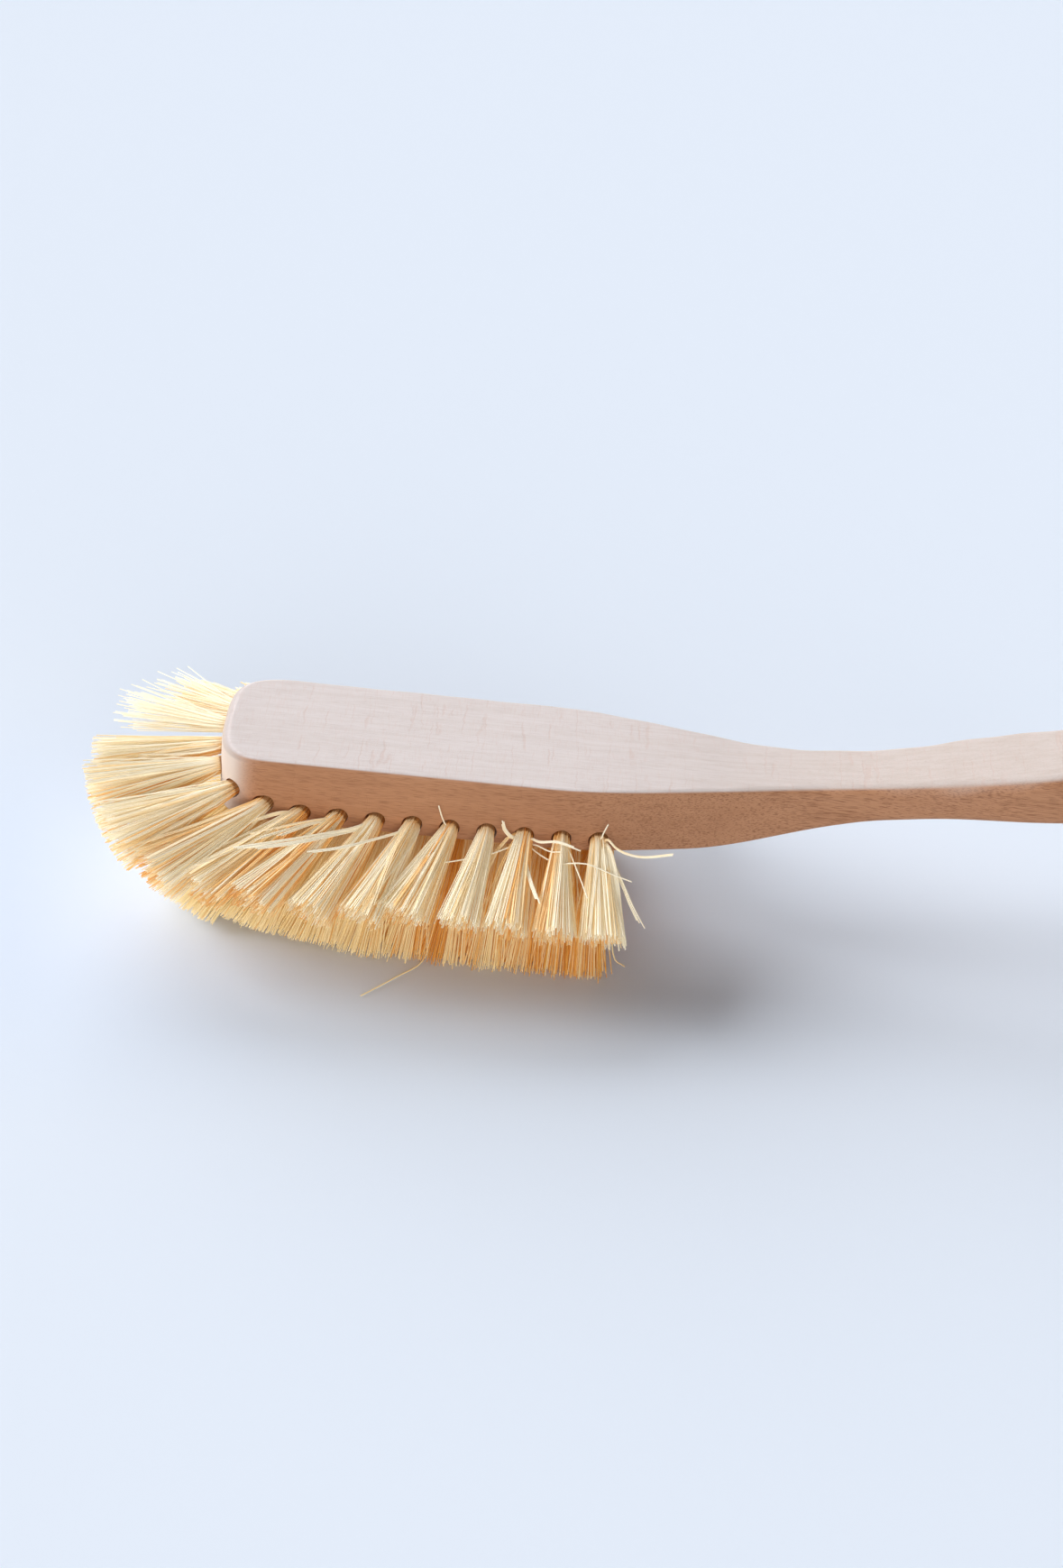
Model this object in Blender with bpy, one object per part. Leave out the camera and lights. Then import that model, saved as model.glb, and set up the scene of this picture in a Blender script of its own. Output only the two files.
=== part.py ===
# Long-handled dish brush. Head, neck and handle are one block of beech. Every tuft of plant fibre
# is folded over a steel anchor at the bottom of its own blind hole and spreads out from there.
# The anchors bite into the walls of the holes, so they are one body with the block.
# Metres. +X runs from the nose to the handle, +Z up, -Y is the left side for the hand on the
# handle. The brush stands on its bristles, with the origin under the middle of its box.

import math

import bmesh
import bpy
from mathutils import Vector

# Beech block, lengths along the brush from the nose
HEAD_STRAIGHT = 0.078
SHOULDER_LENGTH = 0.068
NECK_LENGTH = 0.004
FLARE_LENGTH = 0.045
GRIP_LENGTH = 0.035
HEAD_WIDTH = 0.0360
NECK_WIDTH = 0.0179
GRIP_WIDTH = 0.0232
NOSE_DEPTH = 0.0154
NOSE_POWER = 3.46
TAIL_DEPTH = 0.0105

# Beech block, seen from the side
HEAD_THICKNESS = 0.0172
NECK_THICKNESS = 0.0105
GRIP_THICKNESS = 0.0155
HEEL_LENGTH = 0.034
HEEL_TAPER = 0.048
WAIST_LENGTH = 0.006
SWELL_LENGTH = 0.049
BEND_LEAD = 0.040
BEND_LENGTH = 0.054
HANDLE_TILT = math.radians(13.4)

# Rounded edges of the block
HEAD_EDGE = 0.0012
NOSE_EDGE = 0.0021
GRIP_EDGE = 0.0032
UNDER_EDGE = 0.0006
TAIL_EDGE = 0.0052

# Blind holes for the tufts
HOLE_BORE = 0.0046
HOLE_DEPTH = 0.0062
HOLE_OVERRUN = 0.0060
ROW_PITCH = 0.00886
SIDE_ROW_START = 0.0117
ROW_TUFTS = 10
NOSE_TUFTS = 5
NOSE_DRILL_DROP = 0.0090
SIDE_DRILL_DROP = 0.0139
DRILL_BLEND_START = 0.008
DRILL_BLEND_LENGTH = 0.028
INNER_ROW_SHARE = 0.42
DRILL_LEAN_SHARE = 0.45
DRILL_DROOP_SHARE = 0.60
DRILL_SPLAY_SHARE = 0.75

# Tufts, outside the wood
NOSE_REACH = 0.0325
SIDE_REACH = 0.0280
REACH_BLEND_START = 0.022
REACH_BLEND_LENGTH = 0.042
BRISTLE_DROP = 0.0298
NOSE_DROOP = math.radians(15.0)
SIDE_DROOP = math.radians(20.0)
INNER_SPLAY = math.radians(31.0)
NOSE_SWEEP = math.radians(38.0)
REAR_SWEEP = math.radians(93.0)
INNER_NOSE_SWEEP = math.radians(26.0)
NOSE_SWEEP_POWER = 0.62
SIDE_SWEEP_POWER = 1.35
FAN_SHARE = 0.86
FAN_DEPTH_SHARE = 0.50
INNER_FAN_DEPTH_SHARE = 1.10
CENTRE_FAN_DEPTH_SHARE = 1.40
RAGGED_SHARE = 0.035
BOW_SHARE = 0.40
KNEE_SHARE = 0.42

# Strands and the packed root that holds them
STRANDS_ROUND = 7
STRAND_WIDTH = 0.00073
TIP_WIDTH_SHARE = 0.80
ROOT_RING_SHARE = 0.57
ROOT_RECESS = 0.0005
ROOT_OVERLAP = 0.0012
CLEARANCE = 0.0003

# Flat steel anchors inside the folds
ANCHOR_THICKNESS = 0.00045
ANCHOR_HEIGHT = 0.0018
ANCHOR_FOLD = 0.0012
ANCHOR_BITE = 0.0003

NOSE_POINTS = 14
SHOULDER_POINTS = 32
TAIL_POINTS = 9
EDGE_POINTS = 4
HOLE_SIDES = 16
ROOT_SIDES = 6
ARC_POINTS = 600
SPREAD_TURN = 0.618034

BLOCK_LENGTH = HEAD_STRAIGHT + SHOULDER_LENGTH + NECK_LENGTH + FLARE_LENGTH + GRIP_LENGTH
ROW_LENGTH = ROW_PITCH * (ROW_TUFTS - 1)
FLOOR = -(HEAD_THICKNESS + BRISTLE_DROP)
ROOT_RADIUS = HOLE_BORE / 2 - CLEARANCE


def smooth(share):
    share = min(1.0, max(0.0, share))
    return share * share * (3 - 2 * share)


def half_width(x):
    draw_in = smooth((x - HEAD_STRAIGHT) / SHOULDER_LENGTH)
    flare = smooth((x - HEAD_STRAIGHT - SHOULDER_LENGTH - NECK_LENGTH) / FLARE_LENGTH)
    width = HEAD_WIDTH + (NECK_WIDTH - HEAD_WIDTH) * draw_in + (GRIP_WIDTH - NECK_WIDTH) * flare
    return width / 2


def nose_half_width(x):
    # The nose is a superellipse, nearly square with round corners
    if x >= NOSE_DEPTH:
        return half_width(x)
    far = 1 - max(0.0, x) / NOSE_DEPTH
    return HEAD_WIDTH / 2 * (1 - far ** NOSE_POWER) ** (1 / NOSE_POWER)


def top(x):
    # Flat over the head, then one long bend into the rising handle
    past = x - HEAD_STRAIGHT - BEND_LEAD
    if past <= 0:
        return 0.0
    slope = math.tan(HANDLE_TILT)
    if past < BEND_LENGTH:
        return slope * past * past / (2 * BEND_LENGTH)
    return slope * (past - BEND_LENGTH / 2)


def thickness(x):
    heel = HEAD_STRAIGHT + HEEL_LENGTH
    taper = smooth((x - heel) / HEEL_TAPER)
    swell = smooth((x - heel - HEEL_TAPER - WAIST_LENGTH) / SWELL_LENGTH)
    thinned = HEAD_THICKNESS + (NECK_THICKNESS - HEAD_THICKNESS) * taper
    return thinned + (GRIP_THICKNESS - NECK_THICKNESS) * swell


def edge_radii(x):
    # Crisp on the head, softer round the nose rim and down the handle
    handle = smooth((x - HEAD_STRAIGHT) / (SHOULDER_LENGTH + FLARE_LENGTH))
    nose = 1 - smooth(x / NOSE_DEPTH)
    tail = smooth((x - BLOCK_LENGTH + 2 * TAIL_DEPTH) / (2 * TAIL_DEPTH))
    upper = HEAD_EDGE + (NOSE_EDGE - HEAD_EDGE) * nose + (GRIP_EDGE - HEAD_EDGE) * handle
    lower = UNDER_EDGE + (GRIP_EDGE - UNDER_EDGE) * handle
    upper += (TAIL_EDGE - GRIP_EDGE) * tail
    lower += (TAIL_EDGE - GRIP_EDGE) * tail
    wall_share = 0.42
    limit = wall_share * thickness(x)
    return min(upper, limit), min(lower, limit)


def side_outline():
    # Half of the plan outline, from the nose tip along +Y to the end of the handle
    points = []
    for i in range(NOSE_POINTS):
        turn = math.pi / 2 * i / NOSE_POINTS
        x = NOSE_DEPTH * (1 - math.cos(turn) ** (2 / NOSE_POWER))
        points.append(Vector((x, HEAD_WIDTH / 2 * math.sin(turn) ** (2 / NOSE_POWER))))
    x = SIDE_ROW_START + ROW_PITCH / 2
    while x < HEAD_STRAIGHT:
        if x > NOSE_DEPTH:
            points.append(Vector((x, half_width(x))))
        x += ROW_PITCH
    tail_start = BLOCK_LENGTH - TAIL_DEPTH
    for i in range(SHOULDER_POINTS + 1):
        x = HEAD_STRAIGHT + (tail_start - HEAD_STRAIGHT) * i / SHOULDER_POINTS
        points.append(Vector((x, half_width(x))))
    for i in range(1, TAIL_POINTS + 1):
        turn = math.pi / 2 * i / TAIL_POINTS
        x = tail_start + TAIL_DEPTH * math.sin(turn)
        points.append(Vector((x, half_width(x) * math.cos(turn))))
    points[-1].y = 0.0
    return points


def outward(points, i):
    # Normal of the outline in plan, from its neighbours, and square across at both ends
    if i == 0:
        return Vector((-1.0, 0.0))
    if i == len(points) - 1:
        return Vector((1.0, 0.0))
    along = (points[i + 1] - points[i - 1]).normalized()
    return Vector((-along.y, along.x))


def block_mesh():
    points = side_outline()
    bm = bmesh.new()
    rings = []
    for i, point in enumerate(points):
        normal = outward(points, i)
        upper, lower = edge_radii(point.x)
        ring = []
        for step in range(2 * EDGE_POINTS):
            if step < EDGE_POINTS:
                turn = math.pi / 2 * (1 - step / (EDGE_POINTS - 1))
                inset = upper * (1 - math.cos(turn))
                drop = upper * (1 - math.sin(turn))
            else:
                turn = math.pi / 2 * (step - EDGE_POINTS) / (EDGE_POINTS - 1)
                inset = lower * (1 - math.cos(turn))
                drop = None
            plan = point - normal * inset
            if drop is None:
                z = top(plan.x) - thickness(plan.x) + lower * (1 - math.sin(turn))
            else:
                z = top(plan.x) - drop
            ring.append((plan.x, plan.y, z))
        rings.append(ring)
    ends = (0, len(points) - 1)
    right = [[bm.verts.new(place) for place in ring] for ring in rings]
    left = []
    for i, ring in enumerate(rings):
        if i in ends:
            left.append(right[i])
        else:
            left.append([bm.verts.new((x, -y, z)) for x, y, z in ring])
    for i in range(len(points) - 1):
        for step in range(2 * EDGE_POINTS - 1):
            bm.faces.new((right[i][step], right[i][step + 1], right[i + 1][step + 1], right[i + 1][step]))
            bm.faces.new((left[i][step], left[i + 1][step], left[i + 1][step + 1], left[i][step + 1]))
        for level in (0, -1):
            corners = [right[i][level], right[i + 1][level], left[i + 1][level], left[i][level]]
            kept = []
            for corner in corners:
                if corner not in kept:
                    kept.append(corner)
            bm.faces.new(kept)
    bmesh.ops.recalc_face_normals(bm, faces=bm.faces)
    return finish_mesh(bm, "block")


def finish_mesh(bm, name):
    mesh = bpy.data.meshes.new(name)
    bm.to_mesh(mesh)
    bm.free()
    return mesh


def add_prism(bm, start, end, radius, sides, first):
    # Straight prism whose flat sides face along first and its opposite
    axis = (end - start).normalized()
    across = axis.cross(first).normalized()
    lower = []
    upper = []
    for i in range(sides):
        turn = 2 * math.pi * (i + 0.5) / sides
        offset = (first * math.cos(turn) + across * math.sin(turn)) * radius
        lower.append(bm.verts.new(start + offset))
        upper.append(bm.verts.new(end + offset))
    bm.faces.new(lower[::-1])
    bm.faces.new(upper)
    for i in range(sides):
        j = (i + 1) % sides
        bm.faces.new((lower[i], lower[j], upper[j], upper[i]))


def add_box(bm, centre, axes, sizes):
    corners = []
    for sx, sy, sz in ((-1, -1, -1), (1, -1, -1), (1, 1, -1), (-1, 1, -1),
                       (-1, -1, 1), (1, -1, 1), (1, 1, 1), (-1, 1, 1)):
        place = centre.copy()
        for sign, axis, size in zip((sx, sy, sz), axes, sizes):
            place += axis * (sign * size / 2)
        corners.append(bm.verts.new(place))
    for face in ((3, 2, 1, 0), (4, 5, 6, 7), (0, 1, 5, 4), (1, 2, 6, 5), (2, 3, 7, 6), (3, 0, 4, 7)):
        bm.faces.new([corners[i] for i in face])


def compass(sweep, side):
    # Level direction: sweep turns from straight ahead of the nose towards one side
    return Vector((-math.cos(sweep), side * math.sin(sweep), 0.0))


def outer_tuft(name, pair, mouth, normal_sweep, side, sweep, droop, reach):
    drill_sweep = normal_sweep + (sweep - normal_sweep) * DRILL_LEAN_SHARE
    drill_droop = droop * DRILL_DROOP_SHARE
    down = Vector((0.0, 0.0, -1.0))
    drill = compass(drill_sweep, side) * math.cos(drill_droop) + down * math.sin(drill_droop)
    aim = compass(sweep, side) * math.cos(droop) + down * math.sin(droop)
    normal = (drill + aim).normalized()
    across = normal.cross(down).normalized() * side
    return {
        "name": name, "pair": pair, "mouth": mouth, "drill": drill, "tip": mouth + aim * reach,
        "across": across, "depthwise": normal.cross(across).normalized() * side,
        "fan": (ROW_PITCH * FAN_SHARE, ROW_PITCH * FAN_DEPTH_SHARE), "level": False,
    }


def under_tuft(name, mouth, ahead, splay, across, side, fan_share):
    # Drilled into the flat underside; the tip is cut level where the brush stands
    tilt = splay * DRILL_SPLAY_SHARE
    drill = ahead * math.sin(tilt) + Vector((0.0, 0.0, -math.cos(tilt)))
    tip = mouth + ahead * (BRISTLE_DROP * math.tan(splay))
    tip.z = FLOOR
    return {
        "name": name, "pair": 0, "mouth": mouth, "drill": drill, "tip": tip,
        "across": across, "depthwise": across.cross(Vector((0.0, 0.0, 1.0))) * side,
        "fan": (ROW_PITCH * FAN_SHARE, ROW_PITCH * fan_share), "level": True,
    }


def nose_arc():
    # Dense walk round one nose corner: x, y and the distance from the nose tip
    walk = [(0.0, 0.0, 0.0)]
    for i in range(1, ARC_POINTS + 1):
        turn = math.pi / 2 * i / ARC_POINTS
        x = NOSE_DEPTH * (1 - math.cos(turn) ** (2 / NOSE_POWER))
        y = HEAD_WIDTH / 2 * math.sin(turn) ** (2 / NOSE_POWER)
        step = math.hypot(x - walk[-1][0], y - walk[-1][1])
        walk.append((x, y, walk[-1][2] + step))
    return walk


def place_on_arc(walk, distance):
    for before, after in zip(walk, walk[1:]):
        if after[2] >= distance:
            share = (distance - before[2]) / (after[2] - before[2])
            x = before[0] + (after[0] - before[0]) * share
            y = before[1] + (after[1] - before[1]) * share
            sweep = math.atan2(after[0] - before[0], after[1] - before[1])
            return x, y, sweep
    return walk[-1][0], walk[-1][1], math.pi / 2


def drill_drop(distance):
    share = smooth((distance - DRILL_BLEND_START) / DRILL_BLEND_LENGTH)
    return NOSE_DRILL_DROP + (SIDE_DRILL_DROP - NOSE_DRILL_DROP) * share


def side_sweep(x):
    # Forward at the nose, straight out to the side at the rear end of the rows
    left_over = 1 - min(1.0, (x - SIDE_ROW_START) / ROW_LENGTH)
    return REAR_SWEEP - (REAR_SWEEP - NOSE_SWEEP) * left_over ** SIDE_SWEEP_POWER


def inner_sweep(x):
    blend = smooth((x - SIDE_ROW_START) / ROW_LENGTH)
    return INNER_NOSE_SWEEP + (REAR_SWEEP - INNER_NOSE_SWEEP) * math.sqrt(blend)


def tuft_layout():
    tufts = []
    walk = nose_arc()
    start_arc = next(step[2] for step in walk if step[0] >= min(SIDE_ROW_START, NOSE_DEPTH))
    half_count = (NOSE_TUFTS + 1) / 2
    for i in range(NOSE_TUFTS):
        share = (i + 1 - half_count) / half_count
        side = -1 if share < 0 else 1
        distance = abs(share) * start_arc
        x, y, normal_sweep = place_on_arc(walk, distance)
        mouth = Vector((x, side * y, -drill_drop(distance)))
        sweep = NOSE_SWEEP * abs(share) ** NOSE_SWEEP_POWER
        droop = NOSE_DROOP + (SIDE_DROOP - NOSE_DROOP) * smooth(abs(share))
        pair = round(abs(share) * half_count)
        tufts.append(outer_tuft(f"tuft_nose_{i + 1}", pair, mouth, normal_sweep, side, sweep,
                                droop, NOSE_REACH))
    for side, label in ((-1, "left"), (1, "right")):
        for i in range(ROW_TUFTS):
            x = SIDE_ROW_START + ROW_PITCH * i
            distance = start_arc + ROW_PITCH * i
            mouth = Vector((x, side * nose_half_width(x), -drill_drop(distance)))
            shorter = smooth((x - REACH_BLEND_START) / REACH_BLEND_LENGTH)
            reach = NOSE_REACH + (SIDE_REACH - NOSE_REACH) * shorter
            tufts.append(outer_tuft(f"tuft_{label}_{i + 1:02d}", NOSE_TUFTS + i, mouth, math.pi / 2,
                                    side, side_sweep(x), SIDE_DROOP, reach))
    up = Vector((0.0, 0.0, 1.0))
    for side, label in ((-1, "inner_left"), (1, "inner_right")):
        for i in range(ROW_TUFTS):
            x = SIDE_ROW_START + ROW_PITCH * (i + 0.5)
            mouth = Vector((x, side * INNER_ROW_SHARE * HEAD_WIDTH / 2, -HEAD_THICKNESS))
            ahead = compass(inner_sweep(x), side)
            tufts.append(under_tuft(f"tuft_{label}_{i + 1:02d}", mouth, ahead, INNER_SPLAY,
                                    up.cross(ahead) * side, side, INNER_FAN_DEPTH_SHARE))
    for i in range(ROW_TUFTS):
        x = SIDE_ROW_START + ROW_PITCH * i
        mouth = Vector((x, 0.0, -HEAD_THICKNESS))
        ahead = Vector((-1.0, 0.0, 0.0))
        splay = math.atan(math.tan(INNER_SPLAY) * math.cos(inner_sweep(x)))
        tufts.append(under_tuft(f"tuft_centre_{i + 1:02d}", mouth, ahead, splay,
                                ahead, 1, CENTRE_FAN_DEPTH_SHARE))
    return tufts


def strand_plan():
    # One strand in the middle and a ring round it, as parts of the tuft's half widths
    spots = [(0.0, 0.0)]
    for i in range(STRANDS_ROUND):
        turn = 2 * math.pi * (i + 0.5) / STRANDS_ROUND
        spots.append((math.cos(turn), math.sin(turn)))
    return spots


def add_strands(bm, tuft):
    root = tuft["mouth"] - tuft["drill"] * (ROOT_RECESS + ROOT_OVERLAP)
    run = (tuft["tip"] - root).length
    knee = root + tuft["drill"] * (run * BOW_SHARE)
    across = tuft["across"]
    depthwise = tuft["depthwise"]
    ring = ROOT_RADIUS * ROOT_RING_SHARE
    for spot, (a, b) in enumerate(strand_plan()):
        uneven = (tuft["pair"] * (STRANDS_ROUND + 1) + spot) * SPREAD_TURN % 1
        trim = 1.0 if tuft["level"] else 1 - RAGGED_SHARE * uneven
        rings = []
        for share in ((0.0, 1.0) if tuft["level"] else (0.0, KNEE_SHARE, 1.0)):
            t = share * trim
            centre = root * (1 - t) ** 2 + knee * (2 * t * (1 - t)) + tuft["tip"] * t ** 2
            wide = ring + (tuft["fan"][0] / 2 - ring) * t
            deep = ring + (tuft["fan"][1] / 2 - ring) * t
            centre = centre + across * (a * wide) + depthwise * (b * deep)
            radius = STRAND_WIDTH / math.sqrt(3) * (1 - (1 - TIP_WIDTH_SHARE) * share)
            corners = []
            for corner in range(3):
                turn = math.atan2(b, a) + 2 * math.pi * corner / 3
                corners.append(centre + (across * math.cos(turn) + depthwise * math.sin(turn)) * radius)
            rings.append([bm.verts.new(place) for place in corners])
        bm.faces.new(rings[0][::-1])
        bm.faces.new(rings[-1])
        for lower, upper in zip(rings, rings[1:]):
            for i in range(3):
                j = (i + 1) % 3
                bm.faces.new((lower[i], lower[j], upper[j], upper[i]))


def carve(base, tool, operation):
    # Boolean between two meshes that gives back one new mesh
    body = bpy.data.objects.new("carve_body", base)
    other = bpy.data.objects.new("carve_tool", tool)
    for obj in (body, other):
        bpy.context.scene.collection.objects.link(obj)
    step = body.modifiers.new("carve", "BOOLEAN")
    step.operation = operation
    step.solver = "EXACT"
    step.object = other
    graph = bpy.context.evaluated_depsgraph_get()
    result = bpy.data.meshes.new_from_object(body.evaluated_get(graph))
    bpy.data.objects.remove(body)
    bpy.data.objects.remove(other)
    return result


def root_axis(tuft):
    return tuft["drill"].cross(tuft["across"]).cross(tuft["drill"]).normalized()


def root_ends(tuft):
    bottom = tuft["mouth"] - tuft["drill"] * (HOLE_DEPTH - CLEARANCE)
    upper = tuft["mouth"] - tuft["drill"] * ROOT_RECESS
    return bottom, upper


def tuft_mesh(tuft):
    # Packed root, slotted where the fold goes round its anchor, with the strands fused to it
    bottom, upper = root_ends(tuft)
    first = root_axis(tuft)
    bm = bmesh.new()
    add_prism(bm, bottom, upper, ROOT_RADIUS, ROOT_SIDES, first)
    root = finish_mesh(bm, "root")
    bm = bmesh.new()
    slot_centre = bottom + tuft["drill"] * (ANCHOR_FOLD + ANCHOR_HEIGHT / 2)
    slot = (HOLE_BORE, ANCHOR_THICKNESS + 2 * CLEARANCE, ANCHOR_HEIGHT + 2 * CLEARANCE)
    add_box(bm, slot_centre, (first, tuft["drill"].cross(first), tuft["drill"]), slot)
    root = carve(root, finish_mesh(bm, "slot"), "DIFFERENCE")
    bm = bmesh.new()
    add_strands(bm, tuft)
    bmesh.ops.recalc_face_normals(bm, faces=bm.faces)
    return carve(root, finish_mesh(bm, "strands"), "UNION")


def holes_mesh(tufts):
    bm = bmesh.new()
    for tuft in tufts:
        bottom = tuft["mouth"] - tuft["drill"] * HOLE_DEPTH
        beyond = tuft["mouth"] + tuft["drill"] * HOLE_OVERRUN
        add_prism(bm, bottom, beyond, HOLE_BORE / 2, HOLE_SIDES, root_axis(tuft))
    return finish_mesh(bm, "holes")


def anchors_mesh(tufts):
    # One flat strip across each hole, inside the fold of its tuft, with both ends in the wood
    bm = bmesh.new()
    strip = (HOLE_BORE + 2 * ANCHOR_BITE, ANCHOR_THICKNESS, ANCHOR_HEIGHT)
    for tuft in tufts:
        bottom, upper = root_ends(tuft)
        first = root_axis(tuft)
        centre = bottom + tuft["drill"] * (ANCHOR_FOLD + ANCHOR_HEIGHT / 2)
        add_box(bm, centre, (first, tuft["drill"].cross(first), tuft["drill"]), strip)
    return finish_mesh(bm, "anchors")


def make_material(name, colour, roughness, metallic):
    material = bpy.data.materials.new(name)
    material.use_nodes = True
    shader = material.node_tree.nodes["Principled BSDF"]
    shader.inputs["Base Color"].default_value = (*colour, 1.0)
    shader.inputs["Roughness"].default_value = roughness
    shader.inputs["Metallic"].default_value = metallic
    return material


def add_node(name, mesh, material, parent):
    mesh.name = name
    mesh.materials.clear()
    mesh.materials.append(material)
    mesh.shade_smooth()
    mesh.set_sharp_from_angle(angle=math.radians(30))
    obj = bpy.data.objects.new(name, mesh)
    bpy.context.scene.collection.objects.link(obj)
    obj.parent = parent
    return obj


def main():
    for obj in list(bpy.data.objects):
        bpy.data.objects.remove(obj)
    beech = make_material("beech", (0.66, 0.47, 0.33), 0.55, 0.0)
    fibre = make_material("plant_fibre", (0.78, 0.58, 0.30), 0.60, 0.0)
    stand = bpy.data.objects.new("brush", None)
    bpy.context.scene.collection.objects.link(stand)
    tufts = tuft_layout()
    drilled = carve(block_mesh(), holes_mesh(tufts), "DIFFERENCE")
    block = carve(drilled, anchors_mesh(tufts), "UNION")
    nodes = [add_node("beech_block", block, beech, stand)]
    for tuft in tufts:
        nodes.append(add_node(tuft["name"], tuft_mesh(tuft), fibre, stand))
    spots = [vertex.co for node in nodes for vertex in node.data.vertices]
    middle_x = (min(spot.x for spot in spots) + max(spot.x for spot in spots)) / 2
    middle_y = (min(spot.y for spot in spots) + max(spot.y for spot in spots)) / 2
    stand.location = (-middle_x, -middle_y, -min(spot.z for spot in spots))


main()
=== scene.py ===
import random
from math import atan, atan2, cos, hypot, pi, radians, sin, sqrt, tan
from types import SimpleNamespace

import bmesh
import bpy
from mathutils import Matrix, Vector


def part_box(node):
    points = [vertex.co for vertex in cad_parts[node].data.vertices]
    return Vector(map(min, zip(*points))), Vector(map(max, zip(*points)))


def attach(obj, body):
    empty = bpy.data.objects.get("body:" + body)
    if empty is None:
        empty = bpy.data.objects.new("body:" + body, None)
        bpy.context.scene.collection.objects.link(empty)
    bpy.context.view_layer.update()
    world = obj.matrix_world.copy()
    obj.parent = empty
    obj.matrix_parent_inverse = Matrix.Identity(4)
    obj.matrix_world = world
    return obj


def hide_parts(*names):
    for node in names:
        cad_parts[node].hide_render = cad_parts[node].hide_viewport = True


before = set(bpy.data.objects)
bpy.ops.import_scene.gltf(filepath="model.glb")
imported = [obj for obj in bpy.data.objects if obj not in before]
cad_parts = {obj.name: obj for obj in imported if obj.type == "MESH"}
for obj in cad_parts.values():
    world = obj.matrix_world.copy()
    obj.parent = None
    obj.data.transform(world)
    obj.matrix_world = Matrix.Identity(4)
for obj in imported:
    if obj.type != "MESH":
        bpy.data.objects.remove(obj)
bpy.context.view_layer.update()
scene = bpy.context.scene
print("stage: frame loaded")

# Shapes are worked out in millimetres from the nose tip and the top of the head, as the wood
# was drawn, and moved into the row's place when they become meshes.
metre = 1000.0
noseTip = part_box("beech_block")[0].x * metre
standHeight = 47.0      # from the tips of the bristles up to the top of the head
toRow = Vector((noseTip, 0.0, standHeight))
rowMatrix = Matrix.Translation(toRow / metre) @ Matrix.Scale(1 / metre, 4)
quarterTurn = pi / 2
goldenTurn = pi * (3 - sqrt(5))
up, down = Vector((0.0, 0.0, 1.0)), Vector((0.0, 0.0, -1.0))


def smooth(share):
    share = min(1.0, max(0.0, share))
    return share * share * (3 - 2 * share)


def mix(a, b, share):
    return a + (b - a) * share


# Colours are given as a paint chip reads, 0 to 255, and turned into Blender's linear light
def paint(red, green, blue):
    def linear(value):
        value /= 255
        return value / 12.92 if value <= 0.04045 else ((value + 0.055) / 1.055) ** 2.4
    return (linear(red), linear(green), linear(blue), 1.0)


def isSocket(value):
    return isinstance(value, bpy.types.NodeSocket)


def fill(node, inputs):
    # another node's socket is linked, and a number or colour is set
    for name, value in inputs.items():
        if isSocket(value):
            node.id_data.links.new(value, node.inputs[name])
        else:
            node.inputs[name].default_value = value


def addNode(tree, kind, inputs=None, **settings):
    node = tree.nodes.new("ShaderNode" + kind)
    for name, value in settings.items():
        setattr(node, name, value)
    fill(node, inputs or {})
    return node


# These work in the node tree that their first socket belongs to
def calc(operation, a, b=0, c=0):
    return addNode(a.id_data, "Math", {0: a, 1: b, 2: c}, operation=operation).outputs[0]


def mapTo(value, low, high, outLow=0, outHigh=1):
    inputs = {0: value, 1: low, 2: high, 3: outLow, 4: outHigh}
    return addNode(value.id_data, "MapRange", inputs, interpolation_type="SMOOTHSTEP").outputs[0]


def mixPaint(share, a, b, blend="MIX"):
    tree = share.id_data if isSocket(share) else a.id_data
    node = addNode(tree, "Mix", {0: share, 6: a, 7: b}, data_type="RGBA", blend_type=blend)
    return node.outputs[2]


def split(vector):
    return addNode(vector.id_data, "SeparateXYZ", {0: vector}).outputs


def noise(place, scale=1, detail=2, roughness=0.5):
    inputs = {"Vector": place, "Scale": scale, "Detail": detail, "Roughness": roughness}
    return addNode(place.id_data, "TexNoise", inputs).outputs[0]


def relief(height, look):
    inputs = {"Height": height, "Strength": look["bumpStrength"], "Distance": look["bumpDepth"]}
    return addNode(height.id_data, "Bump", inputs).outputs[0]


def millimetres(tree):
    place = addNode(tree, "TexCoord").outputs["Object"]
    return addNode(tree, "VectorMath", {0: place, "Scale": metre}, operation="SCALE").outputs[0]


def newGroup(name, inputs, outputs):
    # an input has a number to start from or the kind of its socket, an output has the kind
    tree = bpy.data.node_groups.new(name, "ShaderNodeTree")
    for label, start in inputs.items():
        kind = start if isinstance(start, str) else "Float"
        socket = tree.interface.new_socket(label, in_out="INPUT", socket_type="NodeSocket" + kind)
        if kind == "Float":
            socket.default_value = start
    for label, kind in outputs.items():
        tree.interface.new_socket(label, in_out="OUTPUT", socket_type="NodeSocket" + kind)
    return tree, tree.nodes.new("NodeGroupInput"), tree.nodes.new("NodeGroupOutput")


def newMaterial(name):
    material = bpy.data.materials.new(name)
    material.use_nodes = True
    return material, material.node_tree, material.node_tree.nodes["Principled BSDF"]


# Beech grain: long streaks, short dark pores and the fine cross marks of the rays. Each mark is a
# noise drawn out by so many millimetres along, across and down through the board.
grainLook = {
    "wander": (60, 30, 30), "wanderBy": 3, "streaks": (38, 1.1, 1.4),
    "poreFade": 0.1, "porePatches": (9, 2.5, 2.5), "patchShare": 0.16,
    "rays": (0.3, 3.2, 3.2), "rayColumns": (7, 9, 9), "columnShare": 0.22, "rayLimits": (0.62, 0.84),
    "stray": (5, 4.5, 4.5), "strayBy": 2.4, "lines": (3.4, 90, 90), "lineLimits": (0.004, 0.03),
    "lineBreaks": (3, 7.5, 7.5), "breakLimits": (0.44, 0.6), "clouds": (34, 14, 14),
}
grainMarks = ("Streaks", "Pores", "Rays", "Cross Lines", "Clouds")


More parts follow.
